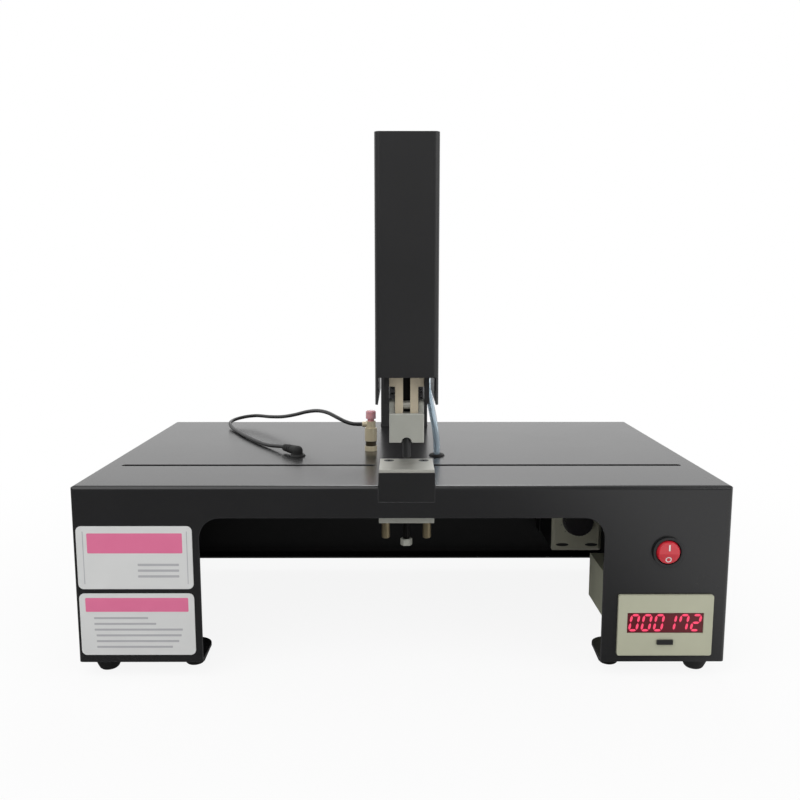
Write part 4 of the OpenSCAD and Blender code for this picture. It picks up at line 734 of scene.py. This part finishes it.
def make_staples(materials):
    """The strip as separate glued staples, one behind the other."""
    wire = 0.6 * MM
    wire_share = 0.9  # how much of its place in the row a staple's wire fills
    tree, given = new_tree(
        "staple_row",
        [
            ("Count", "NodeSocketInt", 100),
            ("Pitch", "NodeSocketFloat", wire),
            ("Across", "NodeSocketFloat", 13 * MM),
            ("Tall", "NodeSocketFloat", 10 * MM),
            ("Wire", "NodeSocketFloat", wire),
        ],
    )
    step = add(tree, "ShaderNodeCombineXYZ", links={1: given["Pitch"]}).outputs[0]
    line = add(
        tree, "GeometryNodeMeshLine", links={"Count": given["Count"], "Offset": step}, mode="OFFSET"
    ).outputs[0]
    thin = times(tree, given["Wire"], wire_share)
    crown = add(
        tree, "ShaderNodeCombineXYZ", links={0: given["Across"], 1: thin, 2: given["Wire"]}
    ).outputs[0]
    leg = add(tree, "ShaderNodeCombineXYZ", links={0: given["Wire"], 1: thin, 2: given["Tall"]}).outputs[0]
    half, half_wire = times(tree, given["Across"], 0.5), times(tree, given["Wire"], 0.5)
    out = add(tree, "ShaderNodeMath", links={0: half, 1: half_wire}, operation="SUBTRACT").outputs[0]
    drop, crown_drop = times(tree, given["Tall"], -0.5), times(tree, given["Wire"], -0.5)
    parts = add(tree, "GeometryNodeJoinGeometry")
    for size, x, z in (
        (leg, times(tree, out, -1.0), drop),
        (leg, times(tree, out, 1.0), drop),
        (crown, times(tree, out, 0.0), crown_drop),
    ):
        spot = add(tree, "ShaderNodeCombineXYZ", links={0: x, 2: z}).outputs[0]
        block = add(tree, "GeometryNodeMeshCube", links={"Size": size}).outputs[0]
        moved = add(tree, "GeometryNodeTransform", links={"Geometry": block, "Translation": spot}).outputs[0]
        tree.links.new(moved, parts.inputs[0])
    copies = add(
        tree, "GeometryNodeInstanceOnPoints", links={"Points": line, "Instance": parts.outputs[0]}
    ).outputs[0]
    close_tree(tree, copies, materials["staples"])
    low, high, mid = box_of("staple_strip")
    count = int((high.y - low.y) / wire)
    sizes = {"Count": count, "Pitch": wire, "Across": high.x - low.x, "Tall": high.z - low.z, "Wire": wire}
    at = Matrix.Translation((mid.x, low.y + wire / 2, high.z))
    start = bpy.data.meshes.new("staple_start")
    piece = grown_piece("staples", tree, start, sizes, "head", at)
    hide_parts("staple_strip")


def make_threads(materials):
    """Thread crests on the jack screw, in mm."""
    turns, pitch, crest_r, crest_sunk, first_up = 22, 1.0, 0.28, 0.1, 0.6
    tree, given = new_tree(
        "thread_crests",
        [
            ("Count", "NodeSocketInt", 10),
            ("Pitch", "NodeSocketFloat", 1 * MM),
            ("Radius", "NodeSocketFloat", 3.5 * MM),
            ("Crest", "NodeSocketFloat", 0.3 * MM),
        ],
    )
    step = add(tree, "ShaderNodeCombineXYZ", links={2: given["Pitch"]}).outputs[0]
    line = add(
        tree, "GeometryNodeMeshLine", links={"Count": given["Count"], "Offset": step}, mode="OFFSET"
    ).outputs[0]
    circle = "GeometryNodeCurvePrimitiveCircle"
    ring = add(tree, circle, {"Resolution": 28}, {"Radius": given["Radius"]}).outputs[0]
    bead = add(tree, circle, {"Resolution": 5}, {"Radius": given["Crest"]}).outputs[0]
    crest = add(tree, "GeometryNodeCurveToMesh", links={"Curve": ring, "Profile Curve": bead}).outputs[0]
    rows = add(tree, "GeometryNodeInstanceOnPoints", links={"Points": line, "Instance": crest}).outputs[0]
    close_tree(tree, rows, materials["oxide_and_shade"])
    low, high, mid = box_of("jack_screw")
    reach = (high.x - low.x) / 2 - crest_sunk * MM
    sizes = {"Count": turns, "Pitch": pitch * MM, "Radius": reach, "Crest": crest_r * MM}
    at = Matrix.Translation((mid.x, mid.y, low.z + first_up * MM))
    start = bpy.data.meshes.new("thread_start")
    grown_piece("jack_screw_thread", tree, start, sizes, "machine", at)


# Springs, hose and cable
def coil_points(base, axis, across, wire, length, curls, rings=24):
    """Points of a coil that starts at base and runs along axis, all in metres."""
    axis = Vector(axis).normalized()
    # A start direction that does not lie along the axis
    side = Vector((1, 0, 0)) if abs(axis.x) < 0.9 else Vector((0, 0, 1))
    up = axis.cross(side)
    out = []
    for i in range(rings * curls + 1):
        a = 2 * math.pi * i / rings
        rise = wire / 2 + (length - wire) * i / (rings * curls)
        out.append(base + axis * rise + across / 2 * (math.cos(a) * side + math.sin(a) * up))
    return out


def make_spring(name, node, coils, wire, materials, body):
    """One or more coils as a piece riding on a body. It stands for the CAD spring if node is
    given."""
    def build(work):
        for points in coils:
            add_tube(work, points, wire / 2, sides=8)

    mesh = mesh_from(name, build, True)
    piece = piece_from(name + "_coil", mesh, materials["wire"], body)
    if node:
        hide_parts(node)
    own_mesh(piece)


def make_return_spring(materials):
    """The return spring. Two joints work it one after the other, so it is split where the head's stroke
    ends: its lower part rides on the machine, its upper part on the head."""
    up, wire, across = (0, 0, 1), 1.6 * MM, 22 * MM
    low, high, mid = box_of("return_spring")
    base = Vector((mid.x, mid.y, low.z))
    length = high.z - low.z
    coil = coil_points(base, up, across, wire, length, curls=8)
    cut = round(len(coil) * HEAD_STROKE / (HEAD_STROKE + DRIVE_STROKE))
    # The lower part stops just short of the upper part
    lower = coil[:cut] + [coil[cut - 1].lerp(coil[cut], 0.85)]
    make_spring("return_spring_lower", "return_spring", [lower], wire, materials, body="machine")
    make_spring("return_spring_upper", None, [coil[cut:]], wire, materials, body="head")


def make_springs(materials):
    """The four sprung places, with wire and width in mm."""
    make_return_spring(materials)
    up, back = (0, 0, 1), (0, 1, 0)

    wire, across, apart = 1.0, 5.4, 18.4
    low, high, mid = box_of("follow_springs")
    feet = [Vector(((HEAD_X + side * apart / 2) * MM, mid.y, low.z)) for side in (-1, 1)]
    coils = [coil_points(foot, up, across * MM, wire * MM, high.z - low.z, curls=10) for foot in feet]
    make_spring("follow_springs", "follow_springs", coils, wire * MM, materials, body="head")

    wire, across = 0.6, 3.0
    low, high, mid = box_of("hold_down_spring")
    base, top = Vector((mid.x, mid.y, low.z)), Vector((mid.x, mid.y, high.z))
    coil = coil_points(base, up, across * MM, wire * MM, high.z - low.z, curls=10)
    make_spring("hold_down_spring", "hold_down_spring", [coil], wire * MM, materials, body="head")

    wire, across = 0.6, 4.0
    low, high, mid = box_of("pusher_spring")
    base, far = Vector((mid.x, low.y, mid.z)), Vector((mid.x, high.y, mid.z))
    coil = coil_points(base, back, across * MM, wire * MM, high.y - low.y, curls=16)
    make_spring("pusher_spring", "pusher_spring", [coil], wire * MM, materials, body="head")


# The routes of the part's source, as x, s and z in mm
HOSE_ROUTE = [
    (44, 176, -26), (44, 170.475, -26), (44, 164.495, -26), (43, 155.98, -26), (40.4, 145.97, -26),
    (36.9, 135.7, -25.9), (34, 125.82, -24.1), (32.1, 118.02, -19), (31.2, 112.82, -11.2), (31, 111, -2),
    (31, 111, 7), (30.2, 110.8, 19), (27.6, 110.3, 35), (24.5, 108.3, 51), (22, 103.2, 67), (21, 95, 86),
    (21, 87.6, 107), (21, 84.1, 130), (21, 83.3, 150), (21, 83.7, 164), (20.6, 84.2, 176), (19, 84.6, 187),
    (16.3, 84.9, 197.5), (13.4, 84.9, 207), (11.5, 84, 213.7), (10.6, 81.6, 219.6), (10.2, 77.6, 224.5),
    (10, 72.3, 228.2), (10, 66.6, 230.1), (10, 60.5, 230.5), (10, 55.5, 230.5),
]
CABLE_ROUTE = [
    (-35.5, 134, 24), (-40.5, 134, 24.1), (-45.7, 134.6, 24.7), (-51.6, 137.6, 26.2), (-59, 145, 28.6),
    (-69, 159, 30.8), (-80, 175.5, 30), (-92.5, 193, 26.2), (-106, 211, 20.6), (-121.3, 230.8, 15.4),
    (-137, 249.4, 12.4), (-146.2, 260, 11.4), (-153.7, 267.7, 10.6), (-158.9, 271.2, 9.8), (-164.8, 272.5, 9),
    (-170.7, 271.3, 8), (-175.7, 268, 7), (-179, 263, 6), (-180.2, 257.1, 4.9), (-179.2, 251.2, 3.9),
    (-176.9, 245.2, 3), (-173.2, 237.2, 2.2), (-166.2, 222.6, 2), (-158.9, 207.5, 2), (-150.9, 192.3, 2),
    (-142.7, 178, 2), (-134.8, 164.5, 2), (-127, 152.6, 2.1), (-120.3, 143.8, 2.6), (-114, 136.3, 3.6),
    (-108.06, 129.12, 4.6), (-104.12, 124.59, 4.6), (-100.18, 120.07, 4.6), (-96.25, 115.54, 4.6),
]
CABLE_D = 3.5 * MM
HOSE_D = 6.0 * MM
HOSE_BORE = 4.0 * MM


def make_cable(materials):
    """The trigger's cable, from its gland round over the table top to its boot."""
    line = smooth_line([place(*p) for p in CABLE_ROUTE], steps=6)
    curve = bpy.data.curves.new("trigger_lead", "CURVE")
    curve.dimensions = "3D"
    curve.bevel_depth = CABLE_D / 2
    curve.bevel_resolution = 5
    curve.use_fill_caps = True
    spline = curve.splines.new("POLY")
    spline.points.add(len(line) - 1)
    for point, spot in zip(spline.points, line):
        point.co = (*spot, 1.0)
    spline.use_smooth = True
    curve.materials.append(materials["jacket"])
    piece = bpy.data.objects.new("trigger_lead", curve)
    bpy.context.scene.collection.objects.link(piece)
    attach(piece, "machine")
    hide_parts("trigger_cable")


def make_hose(materials):
    """The air hose, whole from the valve to the cylinder's fitting."""
    line = smooth_line([place(*p) for p in HOSE_ROUTE], steps=8)

    def build(work):
        add_tube(work, line, HOSE_D / 2, sides=24, bore=HOSE_BORE / 2)

    mesh = mesh_from("air_hose_tube", build, True)
    piece = piece_from("air_hose_tube", mesh, materials["hose"], "machine")
    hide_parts("air_hose")


# Labels and switch marks
def make_label_print(materials):
    """A plain coloured band, a thin frame and a few pale rules on each label, with no words. Places are in mm
    from the middle of a label's top edge."""
    low, high, mid = box_of("label_plates")
    label_h, ink = 49 * MM, 0.04 * MM
    upper, lower = high.z, low.z + label_h
    frame_half, rule_half, fine_half = 0.3, 0.9, 0.8
    first_rule, rule_gap = -19.5, 4.6

    def bar(work, top, x0, x1, z0, z1, corner=0.4):
        spot = Vector((mid.x + (x0 + x1) / 2 * MM, low.y, top + (z0 + z1) / 2 * MM))
        add_rounded_plate(work, (x1 - x0) * MM, (z1 - z0) * MM, ink, corner * MM, spot)

    def bands(work):
        bar(work, upper, -35.5, 36, -21, -5.5, 0.8)
        bar(work, lower, -39, 39, -14.5, -3.5, 0.8)

    def rules(work):
        for x in (-38.5, 39.5):
            bar(work, upper, x - frame_half, x + frame_half, -45, -4, 0.2)
        for z in (-30, -34.5, -39):
            bar(work, upper, 2, 33, z - rule_half, z + rule_half)
        for k, end in enumerate((8, 14, 34, 33, 31, 26)):
            z = first_rule - rule_gap * k
            start = -33 if k < 3 else -31.8
            bar(work, lower, start, end, z - fine_half, z + fine_half)

    for name, build, ink_name in (("label_bands", bands, "ink_pink"), ("label_rules", rules, "ink_grey")):
        piece_from(name, mesh_from(name, build), materials[ink_name], "machine")


def make_rocker_marks(materials):
    """The usual on and off marks, a bar and a ring, printed on the rocker's upper and lower face."""
    tilt, ridge, ink = math.radians(8), 5.4 * MM, 0.02 * MM
    bar_wide, bar_tall, bar_corner, mark_off = 1.2 * MM, 4.8 * MM, 0.3 * MM, 4.8 * MM
    ring_r, hole_r, sides = 2.3 * MM, 1.6 * MM, 36
    hinge = place(200, 1, -50.5)
    top = hinge + Vector((0, -ridge * math.cos(tilt), -ridge * math.sin(tilt)))
    across = Vector((1, 0, 0))
    down = Vector((0, math.sin(2 * tilt), -math.cos(2 * tilt)))
    out = Vector((0, -math.cos(2 * tilt), -math.sin(2 * tilt)))
    centre = top + mark_off * down
    turns = [2 * math.pi * k / sides for k in range(sides)]

    def build(work):
        add_rounded_plate(work, bar_wide, bar_tall, ink, bar_corner, top + Vector((0, 0, mark_off)))
        rings = []
        for reach, lift in ((ring_r, 0), (ring_r, ink), (hole_r, ink), (hole_r, 0)):
            around = [reach * (math.cos(a) * across + math.sin(a) * down) for a in turns]
            rings.append([work.verts.new(centre + lift * out + step) for step in around])
        for one, two in zip(rings, rings[1:] + rings[:1]):
            join_rings(work, one, two)

    mesh = mesh_from("rocker_marks", build)
    piece_from("rocker_marks", mesh, materials["ink_white"], "rocker")


# Stage and light
def seen_by_rays(tree):
    """Light path sockets: camera rays, and rays that a gloss or clear piece sends on."""
    path = add(tree, "ShaderNodeLightPath").outputs
    passed = add(
        tree,
        "ShaderNodeMath",
        links={0: path["Is Glossy Ray"], 1: path["Is Transmission Ray"]},
        operation="MAXIMUM",
    ).outputs[0]
    return path["Is Camera Ray"], passed


def spread_value(tree, value, start, end, low, high):
    """A value eased from low at start to high at end."""
    return add(
        tree,
        "ShaderNodeMapRange",
        {"From Min": start, "From Max": end, "To Min": low, "To Max": high},
        {"Value": value},
        interpolation_type="SMOOTHSTEP",
    ).outputs["Result"]


def blend_value(tree, fac, one, two):
    """Two values, given as a number or a socket, mixed by fac."""
    # Sockets 2 and 3 of a Mix node are its values
    mix = add(tree, "ShaderNodeMix", links={"Factor": fac})
    feed(tree, mix.inputs[2], one)
    feed(tree, mix.inputs[3], two)
    return mix.outputs[0]


def make_floor():
    """A pale floor: white to the camera, with a soft shadow kept near the machine. What a gloss shows of it
    is white behind the machine and at its right, and shaded in front, where the room is darker."""
    half = 6.0
    # Where the floor turns white in a gloss: towards the right and towards the back, in metres
    right, back, shaded = (0.16, 0.36), (0.1, 0.5), 0.14
    # Where the shadow fades out, in metres from the middle, and how much white covers it near the machine
    fade, cover = (0.3, 0.75), 0.9
    made = bpy.data.materials.new("pale_studio_floor")
    made.use_nodes = True
    tree = made.node_tree
    tree.nodes.clear()
    camera, passed = seen_by_rays(tree)
    where = add(tree, "ShaderNodeTexCoord").outputs["Object"]
    dust = add(tree, "ShaderNodeTexNoise", {"Scale": 6.0, "Detail": 2.0}, {"Vector": where}).outputs["Fac"]
    pale = blend_colour(tree, dust, "#f4f4f4", "#f1f1f1")
    matte = add(tree, "ShaderNodeBsdfDiffuse", links={"Color": pale}).outputs[0]
    parts = add(tree, "ShaderNodeSeparateXYZ", links={0: where}).outputs
    away = add(tree, "ShaderNodeVectorMath", links={0: where}, operation="LENGTH").outputs["Value"]
    front = spread_value(tree, parts[0], *right, shaded, 1.0)
    shown = blend_value(tree, spread_value(tree, parts[1], *back, 0.0, 1.0), front, 1.0)
    strength = blend_value(tree, camera, shown, 1.0)
    glow = add(tree, "ShaderNodeEmission", {"Color": (1, 1, 1, 1)}, {"Strength": strength}).outputs[0]
    share = blend_value(tree, camera, passed, spread_value(tree, away, *fade, cover, 1.0))
    both = add(tree, "ShaderNodeMixShader", links={0: share, 1: matte, 2: glow}).outputs[0]
    add(tree, "ShaderNodeOutputMaterial", links={"Surface": both})
    mesh = bpy.data.meshes.new("floor")
    corners = [(-half, -half, 0), (half, -half, 0), (half, half, 0), (-half, half, 0)]
    mesh.from_pydata(corners, [], [(0, 1, 2, 3)])
    mesh.materials.append(made)
    floor = bpy.data.objects.new("floor", mesh)
    bpy.context.scene.collection.objects.link(floor)


def make_world():
    """A white studio: plain soft light, white to the camera, darker in a gloss that looks to the front."""
    soft_light = 0.42
    # From front to back as a direction's y, where the room turns from shaded to white in a gloss
    turns, shaded = (-0.35, 0.2), 0.22
    world = bpy.data.worlds.new("white_studio")
    bpy.context.scene.world = world
    world.use_nodes = True
    tree = world.node_tree
    tree.nodes.clear()
    camera, passed = seen_by_rays(tree)
    way = add(tree, "ShaderNodeTexCoord").outputs["Generated"]
    parts = add(tree, "ShaderNodeSeparateXYZ", links={0: way}).outputs
    shown = spread_value(tree, parts[1], *turns, shaded, 1.0)
    strength = blend_value(tree, passed, soft_light, shown)
    strength = blend_value(tree, camera, strength, 1.0)
    sky = add(tree, "ShaderNodeBackground", {"Color": (1, 1, 1, 1)}, {"Strength": strength}).outputs[0]
    add(tree, "ShaderNodeOutputWorld", links={"Surface": sky})


# The lamps: name, place, target and size in metres, power in watts
LAMPS = (
    ("key_light", (-0.7, -1.1, 1.5), (0, 0, 0.15), 1.8, 16.0),
    ("fill_light", (1.2, -0.9, 0.9), (0.05, 0, 0.15), 1.3, 7.0),
    ("back_light", (0.1, 1.3, 1.4), (0, 0, 0.2), 1.0, 10.0),
)


def make_lights():
    """Three large soft lamps at a plain level."""
    for name, spot, target, size, power in LAMPS:
        lamp = bpy.data.lights.new(name, "AREA")
        lamp.shape = "DISK"
        lamp.size = size
        lamp.energy = power
        holder = bpy.data.objects.new(name, lamp)
        bpy.context.scene.collection.objects.link(holder)
        holder.location = spot
        aim = Vector(target) - Vector(spot)
        holder.rotation_euler = aim.to_track_quat("-Z", "Y").to_euler()
    bpy.context.scene.view_settings.view_transform = "Standard"


def main():
    """The whole scene, the camera and the cords first."""
    set_camera()
    materials = make_materials()
    make_cable(materials)
    make_hose(materials)
    dress_cad_nodes(materials)
    make_springs(materials)
    make_counter_digits(materials)
    make_timer_scale(materials)
    make_knob_grip(materials)
    make_staples(materials)
    make_threads(materials)
    make_label_print(materials)
    make_rocker_marks(materials)
    make_floor()
    make_world()
    make_lights()


main()
